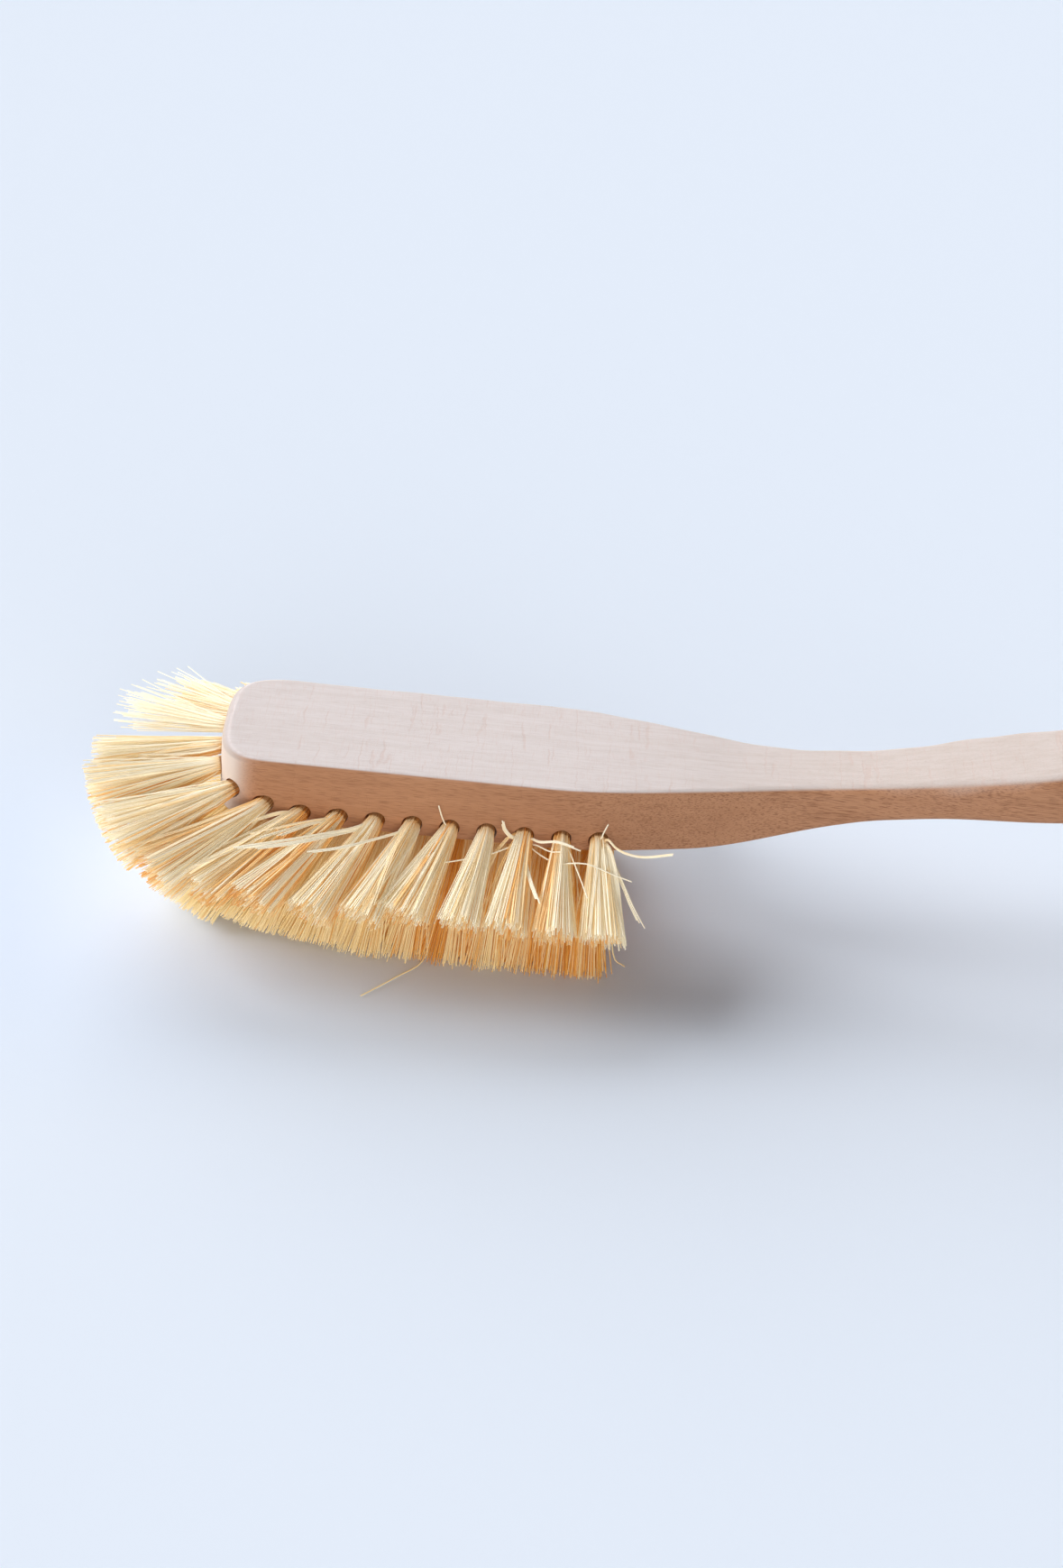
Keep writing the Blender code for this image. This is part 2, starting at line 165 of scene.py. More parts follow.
def makeBeechGrain():
    g = grainLook
    inputs = {"Place": "Vector", "Pore Length": 3.8, "Pore Width": 0.15, "Pore Limit": 0.54}
    tree, ins, outs = newGroup("beechGrain", inputs, dict.fromkeys(grainMarks, "Float"))
    x, y, z = split(ins.outputs["Place"])

    def marks(stretch, shift=0, detail=2, roughness=0.5, place=(x, y, z)):
        # shift keeps this noise apart from the others
        sides = [calc("DIVIDE", side, reach) for side, reach in zip(place, stretch)]
        vector = addNode(tree, "CombineXYZ", dict(enumerate(sides))).outputs[0]
        if shift:
            both = {0: vector, 1: (shift, shift, shift)}
            vector = addNode(tree, "VectorMath", both, operation="ADD").outputs[0]
        return noise(vector, 1, detail, roughness)

    # streaks follow the growth rings, and bend a little on their way down the handle
    bent = calc("MULTIPLY_ADD", marks(g["wander"], 3), g["wanderBy"], y)
    streaks = marks(g["streaks"], 0, 3, 0.6, (x, bent, z))

    # pores gather in patches
    poreSize = [ins.outputs[name] for name in ("Pore Length", "Pore Width", "Pore Width")]
    patches = calc("MULTIPLY", marks(g["porePatches"], 17), g["patchShare"])
    dashes = calc("ADD", marks(poreSize, 11, 1), patches)
    limit = calc("ADD", ins.outputs["Pore Limit"], g["patchShare"] / 2)
    pores = mapTo(dashes, limit, calc("ADD", limit, g["poreFade"]))

    # rays: short marks across the board, in loose columns
    columns = calc("MULTIPLY", marks(g["rayColumns"], 29), g["columnShare"])
    rays = mapTo(calc("ADD", marks(g["rays"], 0, 1), columns), *g["rayLimits"])

    # cross lines: a few thin planer marks that run over most of the width
    strayed = calc("MULTIPLY_ADD", marks(g["stray"], 47, 3, 0.6), g["strayBy"], x)
    level = calc("SUBTRACT", marks(g["lines"], 0, 1, 0.5, (strayed, y, z)), 0.5)
    thin = mapTo(calc("ABSOLUTE", level), *g["lineLimits"], 1, 0)
    lines = calc("MULTIPLY", thin, mapTo(marks(g["lineBreaks"], 41), *g["breakLimits"]))

    clouds = marks(g["clouds"], 53, 3)
    fill(outs, dict(zip(grainMarks, (streaks, pores, rays, lines, clouds))))
    return tree


# Paints of the wood, how far each mark shows in them, and the limits between which a mark, the way
# the surface faces or the place along the handle brings them in
beechLook = {
    # painted light and shade: the top paint is pale as in bright light, the side paints are brown as in
    # shade, and the nose paint lies between them
    "litTopPaint": paint(222, 213, 213), "topWarmShade": paint(199, 185, 177), "topFacing": (0.62, 0.9),
    "topHandle": 0.62, "topStreaks": 0.2, "topRays": 0.22, "topLines": 0.3, "topPores": 0.08,
    "shadedSidePaint": paint(188, 137, 101), "sideDeep": paint(170, 120, 87),
    "sideHandle": 0.22, "sideStreaks": 0.3, "sideClouds": 0.3, "sidePores": (0.42, 0.66),
    "litNosePaint": paint(216, 203, 195), "noseFacing": (-0.04, -0.66), "noseShare": 0.92,
    "edgeShadePaint": paint(120, 104, 96), "edgeForward": (-0.12, -0.55), "edgeUpward": (0.05, 0.45),
    "edgeShare": 0.38, "porePaint": paint(124, 78, 54), "rayPaint": paint(214, 190, 184),
    "linePaint": paint(206, 176, 166), "streakLimits": (0.35, 0.68), "cloudLimits": (0.38, 0.66),
    "handlePlace": (-20, 70), "porePlace": (-60, 40),
    "boreBrownAndShadePaint": paint(126, 82, 56), "borePores": {"Pore Length": 0.5, "Pore Width": 0.3, "Pore Limit": 0.5},
    "boreDark": 0.5, "boreRoughness": 0.7, "boreRougher": 0.2, "boreBump": 0.5,
    "roughness": 0.62, "rougher": 0.1, "gloss": 0.32, "bumpStrength": 0.6, "bumpDepth": 0.00006,
    "streakHeight": 0.5, "poreDepth": 0.6, "lineDepth": 0.5,
}


def makeSandedBeech(grainGroup):
    look = beechLook
    material, tree, shader = newMaterial("sandedBeech")
    place = millimetres(tree)
    grain = addNode(tree, "Group", {"Place": place}, node_tree=grainGroup)
    streaks, pores, rays, lines, clouds = grain.outputs
    facing = split(addNode(tree, "NewGeometry").outputs["Normal"])
    x = split(place)[0]

    def part(mask, share):
        return calc("MULTIPLY", mask, look[share])

    def between(value, limits):
        return mapTo(value, *look[limits])

    streakShare, towardsHandle = between(streaks, "streakLimits"), between(x, "handlePlace")
    # towards the handle the top is painted warmer, and darker as painted shade that holds back the stronger
    # light on the raised grip
    topMix = calc("MULTIPLY_ADD", towardsHandle, look["topHandle"], part(streakShare, "topStreaks"))
    litTopPaint = mixPaint(topMix, look["litTopPaint"], look["topWarmShade"])
    for mark, share, tint in ((rays, "topRays", "rayPaint"), (lines, "topLines", "linePaint"),
                              (pores, "topPores", "porePaint")):
        litTopPaint = mixPaint(part(mark, share), litTopPaint, look[tint])

    cloudShare = part(between(clouds, "cloudLimits"), "sideClouds")
    sideMix = calc("ADD", part(streakShare, "sideStreaks"), cloudShare)
    sideMix = calc("MULTIPLY_ADD", towardsHandle, look["sideHandle"], sideMix)
    shadedSidePaint = mixPaint(sideMix, look["shadedSidePaint"], look["sideDeep"])
    # the pores show more towards the handle, where the cutter left the wood rougher
    poreShare = calc("MULTIPLY", pores, mapTo(x, *look["porePlace"], *look["sidePores"]))
    shadedSidePaint = mixPaint(poreShare, shadedSidePaint, look["porePaint"])
    # painted light and shade: the top and the nose end are painted paler, as in bright light, and the sides
    # browner, as in shade
    forward = part(between(facing[0], "noseFacing"), "noseShare")
    shadedSidePaint = mixPaint(forward, shadedSidePaint, look["litNosePaint"])
    woodPaint = mixPaint(between(facing[2], "topFacing"), shadedSidePaint, litTopPaint)
    # painted shade: the upper edge of the nose, which faces the window light, is painted darker to hold back
    # its highlight
    shadedEdge = calc("MULTIPLY", between(facing[0], "edgeForward"), between(facing[2], "edgeUpward"))
    woodPaint = mixPaint(part(shadedEdge, "edgeShare"), woodPaint, look["edgeShadePaint"])

    rough = calc("MULTIPLY_ADD", streakShare, look["rougher"], look["roughness"])
    height = calc("SUBTRACT", part(streaks, "streakHeight"), part(pores, "poreDepth"))
    height = calc("SUBTRACT", height, part(lines, "lineDepth"))
    rough = calc("MULTIPLY_ADD", pores, look["rougher"], rough)
    fill(shader, {"Base Color": woodPaint, "Normal": relief(height, look), "Roughness": rough,
                  "Specular IOR Level": look["gloss"]})
    return material


def makeDrilledBeech(grainGroup):
    # walls of the holes: end grain browned by the drill, and painted darker still as the shade inside the
    # hole
    look = beechLook
    material, tree, shader = newMaterial("drilledBeech")
    inputs = {"Place": millimetres(tree), **look["borePores"]}
    grain = addNode(tree, "Group", inputs, node_tree=grainGroup)
    pores = grain.outputs["Pores"]
    dark = calc("MULTIPLY", pores, look["boreDark"])
    rough = calc("MULTIPLY_ADD", grain.outputs["Streaks"], look["boreRougher"], look["boreRoughness"])
    fill(shader, {"Base Color": mixPaint(dark, look["boreBrownAndShadePaint"], look["porePaint"]), "Roughness": rough,
                  "Normal": relief(pores, {**look, "bumpStrength": look["boreBump"]})})
    return material


# Plant fibre: each fibre has its own tone, is stained brown and painted in shade where it leaves the hole,
# and is palest towards the cut tip. Places along a fibre go from 0 at its root to 1 at its tip.
fibreLook = {
    "outer": {"Pale": paint(252, 246, 226), "Straw": paint(251, 227, 180), "Deep": paint(247, 192, 114),
              "Root Stain And Shade": paint(228, 200, 158), "Stain And Shade Reach": 0.42},
    # painted shade: the tufts under the head have deeper, oranger paints and a root stain that reaches
    # further, standing in for the shade under the head
    "under": {"Pale": paint(253, 236, 190), "Straw": paint(239, 183, 94), "Deep": paint(222, 151, 66),
              "Root Stain And Shade": paint(206, 158, 112), "Stain And Shade Reach": 0.8},
    "strawTones": (0, 0.55), "paleTones": (0.45, 1.05), "tipPaler": 0.16,
    "fleckScale": 0.35, "fleckShare": 0.5, "fineScale": 2.6,
    "stainStart": 0.16, "stainShare": 0.8, "rimStainAndShade": paint(170, 124, 84), "rimPlace": (0.13, 0.185),
    "rimShare": 0.85, "rimRagged": -0.06,
    "roughness": 0.46, "rougher": 0.24, "gloss": 0.22, "bumpStrength": 0.5, "bumpDepth": 0.00003,
    "glow": 0.066, "glowTint": paint(255, 224, 175),
}


def makeFibreTone():
    look = fibreLook
    inputs = {"Place": "Vector", "Tone": 0.5, "Along": 0.5, "Stain And Shade Reach": 0.42}
    inputs.update(dict.fromkeys(("Pale", "Straw", "Deep", "Root Stain And Shade", "Rim Stain And Shade"), "Color"))
    tree, ins, outs = newGroup("fibreTone", inputs, {"Color": "Color", "Grain": "Float"})
    given, along = ins.outputs, ins.outputs["Along"]
    flecks = calc("SUBTRACT", noise(given["Place"], look["fleckScale"], 3), 0.5)
    fine = noise(given["Place"], look["fineScale"])
    # tone 0 is deep straw, 1 is bleached; the tone rises a little towards the tip
    lifted = calc("MULTIPLY_ADD", along, look["tipPaler"], given["Tone"])
    lifted = calc("MULTIPLY_ADD", flecks, look["fleckShare"], lifted)
    body = mixPaint(mapTo(lifted, *look["strawTones"]), given["Deep"], given["Straw"])
    body = mixPaint(mapTo(lifted, *look["paleTones"]), body, given["Pale"])
    # the stain and its painted shade are darkest at the rim of the hole and thin out over a few millimetres
    nearRoot = mapTo(along, look["stainStart"], given["Stain And Shade Reach"], look["stainShare"], 0)
    ragged = calc("MULTIPLY_ADD", fine, look["rimRagged"], along)
    atRim = mapTo(ragged, *look["rimPlace"], look["rimShare"], 0)
    body = mixPaint(nearRoot, body, given["Root Stain And Shade"], "MULTIPLY")
    body = mixPaint(atRim, body, given["Rim Stain And Shade"], "MULTIPLY")
    fill(outs, {"Color": body, "Grain": fine})
    return tree


def makeFibre(name, toneGroup, paints):
    look = fibreLook
    material, tree, shader = newMaterial(name)
    tone, along = (addNode(tree, "Attribute", attribute_name=label).outputs["Fac"]
                   for label in ("fibreTone", "fibreAlong"))
    inputs = {"Place": millimetres(tree), "Tone": tone, "Along": along, "Rim Stain And Shade": look["rimStainAndShade"], **paints}
    colour, grain = addNode(tree, "Group", inputs, node_tree=toneGroup).outputs
    rough = calc("MULTIPLY_ADD", grain, look["rougher"], look["roughness"])
    # painted glow: a faint emission in a warmed copy of the fibre's colour stands in for light passing
    # through the thin fibre, and keeps its shaded side warm
    glow = mixPaint(1, colour, look["glowTint"], "MULTIPLY")
    fill(shader, {"Base Color": colour, "Normal": relief(grain, look), "Roughness": rough,
                  "Specular IOR Level": look["gloss"], "Emission Color": glow,
                  "Emission Strength": look["glow"]})
    return material


beechGrain = makeBeechGrain()
fibreTone = makeFibreTone()
sandedBeech = makeSandedBeech(beechGrain)
drilledBeech = makeDrilledBeech(beechGrain)
outerFibre = makeFibre("paleFibre", fibreTone, fibreLook["outer"])
shadedUnderFibre = makeFibre("shadedStrawFibre", fibreTone, fibreLook["under"])
print("stage: wood and fibre materials made")

# The wood, in millimetres from the nose tip
beechShape = {
    "headStraight": 78, "shoulderLength": 68, "neckLength": 4, "flareLength": 45, "gripLength": 35,
    "headWidth": 36, "neckWidth": 17.9, "gripWidth": 23.2,
    "noseDepth": 15.4, "nosePower": 3.46, "tailDepth": 10.5,
    "headThickness": 17.2, "neckThickness": 10.5, "gripThickness": 15.5,
    "heelLength": 34, "heelTaper": 48, "waistLength": 6, "swellLength": 49,
    "bendLead": 40, "bendLength": 54, "handleTilt": 13.4,
    "headEdge": 1.2, "noseEdge": 2.1, "gripEdge": 3.2, "underEdge": 0.6, "tailEdge": 5.2, "edgeLimit": 0.42,
    "edgeWander": 0.16, "edgeWaves": (0.31, 0.117), "leftPhase": 1.7,
    "nosePoints": 44, "tailPoints": 22, "stationStep": 1.6, "edgePoints": 7, "wallRows": 5, "topColumns": 6,
    "sharpAngle": 40, "faceWeight": 60,
}
blockLength = sum(beechShape[name] for name in
                  ("headStraight", "shoulderLength", "neckLength", "flareLength", "gripLength"))


def halfWidth(x):
    s = beechShape
    drawIn = smooth((x - s["headStraight"]) / s["shoulderLength"])
    flare = smooth((x - s["headStraight"] - s["shoulderLength"] - s["neckLength"]) / s["flareLength"])
    return (mix(s["headWidth"], s["neckWidth"], drawIn) + (s["gripWidth"] - s["neckWidth"]) * flare) / 2


def nosePoint(turn):
    # the rounded nose seen from above: turn goes from its tip to where the side starts
    s = beechShape
    power = 2 / s["nosePower"]
    return s["noseDepth"] * (1 - cos(turn) ** power), s["headWidth"] / 2 * sin(turn) ** power


def noseHalfWidth(x):
    s = beechShape
    if x >= s["noseDepth"]:
        return halfWidth(x)
    far = 1 - max(0.0, x) / s["noseDepth"]
    return s["headWidth"] / 2 * (1 - far ** s["nosePower"]) ** (1 / s["nosePower"])


def topHeight(x):
    s = beechShape
    past = x - s["headStraight"] - s["bendLead"]
    if past <= 0:
        return 0.0
    slope = tan(radians(s["handleTilt"]))
    if past < s["bendLength"]:
        return slope * past * past / (2 * s["bendLength"])
    return slope * (past - s["bendLength"] / 2)


def woodThickness(x):
    s = beechShape
    heel = s["headStraight"] + s["heelLength"]
    taper = smooth((x - heel) / s["heelTaper"])
    swell = smooth((x - heel - s["heelTaper"] - s["waistLength"]) / s["swellLength"])
    thinned = mix(s["headThickness"], s["neckThickness"], taper)
    return thinned + (s["gripThickness"] - s["neckThickness"]) * swell


def edgeRadii(x, phase):
    s = beechShape
    handle = smooth((x - s["headStraight"]) / (s["shoulderLength"] + s["flareLength"]))
    nose = 1 - smooth(x / s["noseDepth"])
    tail = smooth((x - blockLength + 2 * s["tailDepth"]) / (2 * s["tailDepth"]))
    upper = mix(s["headEdge"], s["noseEdge"], nose) + (s["gripEdge"] - s["headEdge"]) * handle
    lower = mix(s["underEdge"], s["gripEdge"], handle)
    rounder = (s["tailEdge"] - s["gripEdge"]) * tail
    # sanded by hand, so the edge is never quite even
    fast, slow = s["edgeWaves"]
    uneven = 1 + s["edgeWander"] * sin(x * fast + phase) * sin(x * slow + 2 * phase)
    limit = s["edgeLimit"] * woodThickness(x)
    return min((upper + rounder) * uneven, limit), min(lower + rounder, limit)


def planOutline():
    # half of the outline seen from above, from the nose tip to the end of the handle
    s = beechShape
    points = [Vector(nosePoint(quarterTurn * i / s["nosePoints"])) for i in range(s["nosePoints"])]
    tailStart = blockLength - s["tailDepth"]
    count = round((tailStart - s["noseDepth"]) / s["stationStep"])
    for i in range(count):
        x = mix(s["noseDepth"], tailStart, i / count)
        points.append(Vector((x, halfWidth(x))))
    for i in range(s["tailPoints"] + 1):
        turn = quarterTurn * i / s["tailPoints"]
        x = tailStart + s["tailDepth"] * sin(turn)
        points.append(Vector((x, halfWidth(x) * cos(turn))))
    points[-1].y = 0.0
    return points


def woodRing(points, i, phase):
    # one ring of the wall at outline point i, from the top face down to the underside
    s = beechShape
    if i in (0, len(points) - 1):
        normal = Vector((-1.0 if i == 0 else 1.0, 0.0))
    else:
        along = (points[i + 1] - points[i - 1]).normalized()
        normal = Vector((-along.y, along.x))

    def edge(radius, angle, under):
        plan = points[i] - normal * (radius * (1 - cos(angle)))
        inward = radius * (1 - sin(angle))
        z = topHeight(plan.x)
        z = z - woodThickness(plan.x) + inward if under else z - inward
        return Vector((plan.x, plan.y, z))

    upper, lower = edgeRadii(points[i].x, phase)
    steps, count, rows = range(s["edgePoints"]), s["edgePoints"] - 1, s["wallRows"] + 1
    above = [edge(upper, quarterTurn * (1 - step / count), False) for step in steps]
    below = [edge(lower, quarterTurn * step / count, True) for step in steps]
    wall = [above[-1].lerp(below[0], row / rows) for row in range(1, rows)]
    return above + wall + below


def blockMesh():
    s = beechShape
    points = planOutline()
    bm = bmesh.new()
    last = len(points) - 1
    right = [[bm.verts.new(place) for place in woodRing(points, i, 0.0)] for i in range(last + 1)]
    left = []
    for i in range(last + 1):
        if i in (0, last):
            left.append(right[i])
        else:
            left.append([bm.verts.new((v.x, -v.y, v.z)) for v in woodRing(points, i, s["leftPhase"])])
    steps = len(right[0]) - 1
    for i in range(last):
        for step in range(steps):
            bm.faces.new((right[i][step], right[i][step + 1], right[i + 1][step + 1], right[i + 1][step]))
            bm.faces.new((left[i][step], left[i + 1][step], left[i + 1][step + 1], left[i][step + 1]))
    # flat top and underside, laid in columns between the two edges
    for level in (0, -1):
        columns = []
        for i in range(last + 1):
            if i in (0, last):
                columns.append([right[i][level]])
                continue
            a, b = right[i][level], left[i][level]
            inner = [bm.verts.new(a.co.lerp(b.co, k / s["topColumns"])) for k in range(1, s["topColumns"])]
            columns.append([a] + inner + [b])
        for i in range(last):
            one, two = columns[i], columns[i + 1]
            for k in range(s["topColumns"]):
                corners = []
                for row, spot in ((one, k), (one, k + 1), (two, k + 1), (two, k)):
                    corner = row[min(spot, len(row) - 1)]
                    if corner not in corners:
                        corners.append(corner)
                bm.faces.new(corners)
    bmesh.ops.recalc_face_normals(bm, faces=bm.faces)
    return finishMesh(bm, "beechBlock")


def finishMesh(bm, name):
    mesh = bpy.data.meshes.new(name)
    bm.to_mesh(mesh)
    bm.free()
    return mesh


# Where every tuft sits, how its hole is drilled and where it is aimed, in millimetres
tuftPlan = {
    "holeBore": 4.6, "holeDepth": 6.2, "holeSides": 28, "rowPitch": 8.86, "rowStart": 11.7,
    # places along the hole's axis, and how much wider the drill is there
    "countersink": ((-0.25, 0), (0.35, 0.3), (3, 1.4)),
    "rowTufts": 10, "noseTufts": 5, "noseDrop": 9, "sideDrop": 13.9, "dropStart": 8, "dropLength": 28,
    "innerRowShare": 0.42, "drillLean": 0.45, "drillDroop": 0.6, "drillSplay": 0.75,
    "noseReach": 32.5, "sideReach": 28, "reachStart": 22, "reachLength": 42, "bristleDrop": 29.8,
    "noseDroop": 15, "sideDroop": 20, "innerSplay": 31, "noseSweep": 38, "rearSweep": 93,
    "innerNoseSweep": 26, "noseSweepPower": 0.62, "sideSweepPower": 1.35,
}
rowLength = tuftPlan["rowPitch"] * (tuftPlan["rowTufts"] - 1)


def compass(sweep, side):
    return Vector((-cos(sweep), side * sin(sweep), 0.0))


def outerTuft(name, kind, mouth, normalSweep, side, sweep, droop, reach):
    p = tuftPlan
    drillSweep = mix(normalSweep, sweep, p["drillLean"])
    drillDroop = droop * p["drillDroop"]
    drill = compass(drillSweep, side) * cos(drillDroop) + down * sin(drillDroop)
    aim = compass(sweep, side) * cos(droop) + down * sin(droop)
    normal = (drill + aim).normalized()
    across = normal.cross(down).normalized() * side
    depthwise = normal.cross(across).normalized() * side
    return SimpleNamespace(name=name, kind=kind, under=False, mouth=mouth, drill=drill,
                           tip=mouth + aim * reach, across=across, depthwise=depthwise)


def underTuft(name, kind, mouth, ahead, splay, across, side):
    p = tuftPlan
    tilt = splay * p["drillSplay"]
    drill = ahead * sin(tilt) + down * cos(tilt)
    tip = mouth + ahead * (p["bristleDrop"] * tan(splay))
    tip.z = -standHeight
    return SimpleNamespace(name=name, kind=kind, under=True, mouth=mouth, drill=drill, tip=tip,
                           across=across, depthwise=across.cross(up) * side)


def noseArc(steps=600):
    # points round the nose, each with its distance from the tip along the outline
    walk = [(0.0, 0.0, 0.0)]
    for i in range(1, steps + 1):
        x, y = nosePoint(quarterTurn * i / steps)
        walk.append((x, y, walk[-1][2] + hypot(x - walk[-1][0], y - walk[-1][1])))
    return walk


def placeOnArc(walk, distance):
    for before, after in zip(walk, walk[1:]):
        if after[2] >= distance:
            share = (distance - before[2]) / (after[2] - before[2])
            sweep = atan2(after[0] - before[0], after[1] - before[1])
            return mix(before[0], after[0], share), mix(before[1], after[1], share), sweep
    return walk[-1][0], walk[-1][1], quarterTurn


def layTufts():
    p, walk, tufts = tuftPlan, noseArc(), []
    startArc = next(step[2] for step in walk if step[0] >= min(p["rowStart"], beechShape["noseDepth"]))
    halfCount = (p["noseTufts"] + 1) / 2
    noseSweep, rearSweep = radians(p["noseSweep"]), radians(p["rearSweep"])
    noseDroop, sideDroop = radians(p["noseDroop"]), radians(p["sideDroop"])

    def rowPlace(i):
        return p["rowStart"] + p["rowPitch"] * i

    def dropAt(distance):
        return mix(p["noseDrop"], p["sideDrop"], smooth((distance - p["dropStart"]) / p["dropLength"]))

    def innerSweep(x):
        return mix(radians(p["innerNoseSweep"]), rearSweep, sqrt(smooth((x - p["rowStart"]) / rowLength)))

    for i in range(p["noseTufts"]):
        share = (i + 1 - halfCount) / halfCount
        side = -1 if share < 0 else 1
        distance = abs(share) * startArc
        x, y, normalSweep = placeOnArc(walk, distance)
        mouth = Vector((x, side * y, -dropAt(distance)))
        sweep = noseSweep * abs(share) ** p["noseSweepPower"]
        droop, reach = mix(noseDroop, sideDroop, smooth(abs(share))), p["noseReach"]
        tufts.append(outerTuft(f"nose_{i + 1}", "nose", mouth, normalSweep, side, sweep, droop, reach))
    for side, label in ((-1, "left"), (1, "right")):
        for i in range(p["rowTufts"]):
            x = rowPlace(i)
            leftOver = 1 - min(1.0, (x - p["rowStart"]) / rowLength)
            sweep = rearSweep - (rearSweep - noseSweep) * leftOver ** p["sideSweepPower"]
            mouth = Vector((x, side * noseHalfWidth(x), -dropAt(startArc + p["rowPitch"] * i)))
            reach = mix(p["noseReach"], p["sideReach"], smooth((x - p["reachStart"]) / p["reachLength"]))
            name = f"{label}_{i + 1:02d}"
            tufts.append(outerTuft(name, "side", mouth, quarterTurn, side, sweep, sideDroop, reach))
    innerSplay = radians(p["innerSplay"])
    under = -beechShape["headThickness"]
    for side, label in ((-1, "inner_left"), (1, "inner_right")):
        for i in range(p["rowTufts"]):
            x = rowPlace(i + 0.5)       # between two tufts of the outer row
            mouth = Vector((x, side * p["innerRowShare"] * beechShape["headWidth"] / 2, under))
            ahead = compass(innerSweep(x), side)
            name, across = f"{label}_{i + 1:02d}", up.cross(ahead) * side
            tufts.append(underTuft(name, "inner", mouth, ahead, innerSplay, across, side))
    for i in range(p["rowTufts"]):
        mouth, ahead = Vector((rowPlace(i), 0.0, under)), Vector((-1.0, 0.0, 0.0))
        splay = atan(tan(innerSplay) * cos(innerSweep(rowPlace(i))))
        tufts.append(underTuft(f"centre_{i + 1:02d}", "centre", mouth, ahead, splay, ahead, 1))
    return tufts


def squareTo(tuft):
    # two directions square to the hole, the first one across the tuft
    axis = tuft.drill
    first = axis.cross(tuft.across).cross(axis).normalized()
    return first, axis.cross(first)


def addHole(bm, tuft):
    # a blind hole with a small countersink at its mouth
    p = tuftPlan
    first, second = squareTo(tuft)
    sides, rings = p["holeSides"], []
    turns = [2 * pi * k / sides for k in range(sides)]
    for distance, wider in ((-p["holeDepth"], 0), *p["countersink"]):
        centre, radius = tuft.mouth + tuft.drill * distance, p["holeBore"] / 2 + wider
        rings.append([bm.verts.new(centre + (first * cos(turn) + second * sin(turn)) * radius)
                      for turn in turns])
    bm.faces.new(rings[0][::-1])
    bm.faces.new(rings[-1])
    for lower, upper in zip(rings, rings[1:]):
        for k in range(sides):
            j = (k + 1) % sides
            bm.faces.new((lower[k], lower[j], upper[j], upper[k]))


def addObject(name, data):
    thing = bpy.data.objects.new(name, data)
    scene.collection.objects.link(thing)
    return thing


def cut(base, tool):
    body, other = addObject("cutBody", base), addObject("cutTool", tool)
    step = body.modifiers.new("cut", "BOOLEAN")
    step.operation = "DIFFERENCE"
    step.solver = "EXACT"
    step.object = other
    result = bpy.data.meshes.new_from_object(body.evaluated_get(bpy.context.evaluated_depsgraph_get()))
    bpy.data.objects.remove(body)
    bpy.data.objects.remove(other)
    return result


def addPiece(name, mesh, nodes):
    mesh.transform(rowMatrix)
    mesh.name = name
    piece = addObject(name, mesh)
    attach(piece, "root")
    if nodes:
        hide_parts(*nodes)
    return piece


tufts = layTufts()


def buildWood():
    solid = blockMesh()
    solid.materials.append(sandedBeech)
    bm = bmesh.new()
    for tuft in tufts:
        addHole(bm, tuft)
    holes = finishMesh(bm, "holes")
    holes.materials.append(drilledBeech)
    # the cut keeps the drill's own material on the walls of the holes
    drilled = cut(solid, holes)
    drilled.shade_smooth()
    drilled.set_sharp_from_angle(angle=radians(beechShape["sharpAngle"]))
    piece = addPiece("beechBody", drilled, ["beech_block"])
    weighted = piece.modifiers.new("flatFaces", "WEIGHTED_NORMAL")
    weighted.keep_sharp = True
    weighted.weight = beechShape["faceWeight"]


buildWood()
print("stage: wood cut and drilled")

# Flat steel anchors, one in the fold of each tuft near the bottom of its hole
anchorPlan = {
    "thickness": 0.45, "height": 1.8, "fold": 1.2, "bite": 0.3, "bottomGap": 0.3, "edge": 0.08,
    "bright": paint(176, 176, 172), "dull": paint(128, 126, 120), "roughness": (0.28, 0.5),
    "wearScale": 1.8, "wearDetail": 3, "wearLimits": (0.3, 0.7),
}


def makeAnchorSteel():
    a = anchorPlan
    material, tree, shader = newMaterial("anchorSteel")
    wear = noise(millimetres(tree), a["wearScale"], a["wearDetail"])
    fill(shader, {"Base Color": mixPaint(wear, a["bright"], a["dull"]), "Metallic": 1,
                  "Roughness": mapTo(wear, *a["wearLimits"], *a["roughness"])})
    return material


def buildAnchors():
    a = anchorPlan
    bm = bmesh.new()
    size = (tuftPlan["holeBore"] + 2 * a["bite"], a["thickness"], a["height"])
    depth = tuftPlan["holeDepth"] - a["bottomGap"] - a["fold"] - a["height"] / 2
    for tuft in tufts:
        axes = (*squareTo(tuft), tuft.drill)
        centre = tuft.mouth - tuft.drill * depth
        strip = bmesh.ops.create_cube(bm, size=1.0)["verts"]
        for vert in strip:
            vert.co = centre + sum((axes[k] * vert.co[k] * size[k] for k in range(3)), Vector())
        edges = list({edge for vert in strip for edge in vert.link_edges})
        bmesh.ops.bevel(bm, geom=edges, offset=a["edge"], segments=1, affect="EDGES")
    mesh = finishMesh(bm, "anchors")
    mesh.materials.append(makeAnchorSteel())
    addPiece("anchorStrips", mesh, [])


buildAnchors()
print("stage: anchors set")

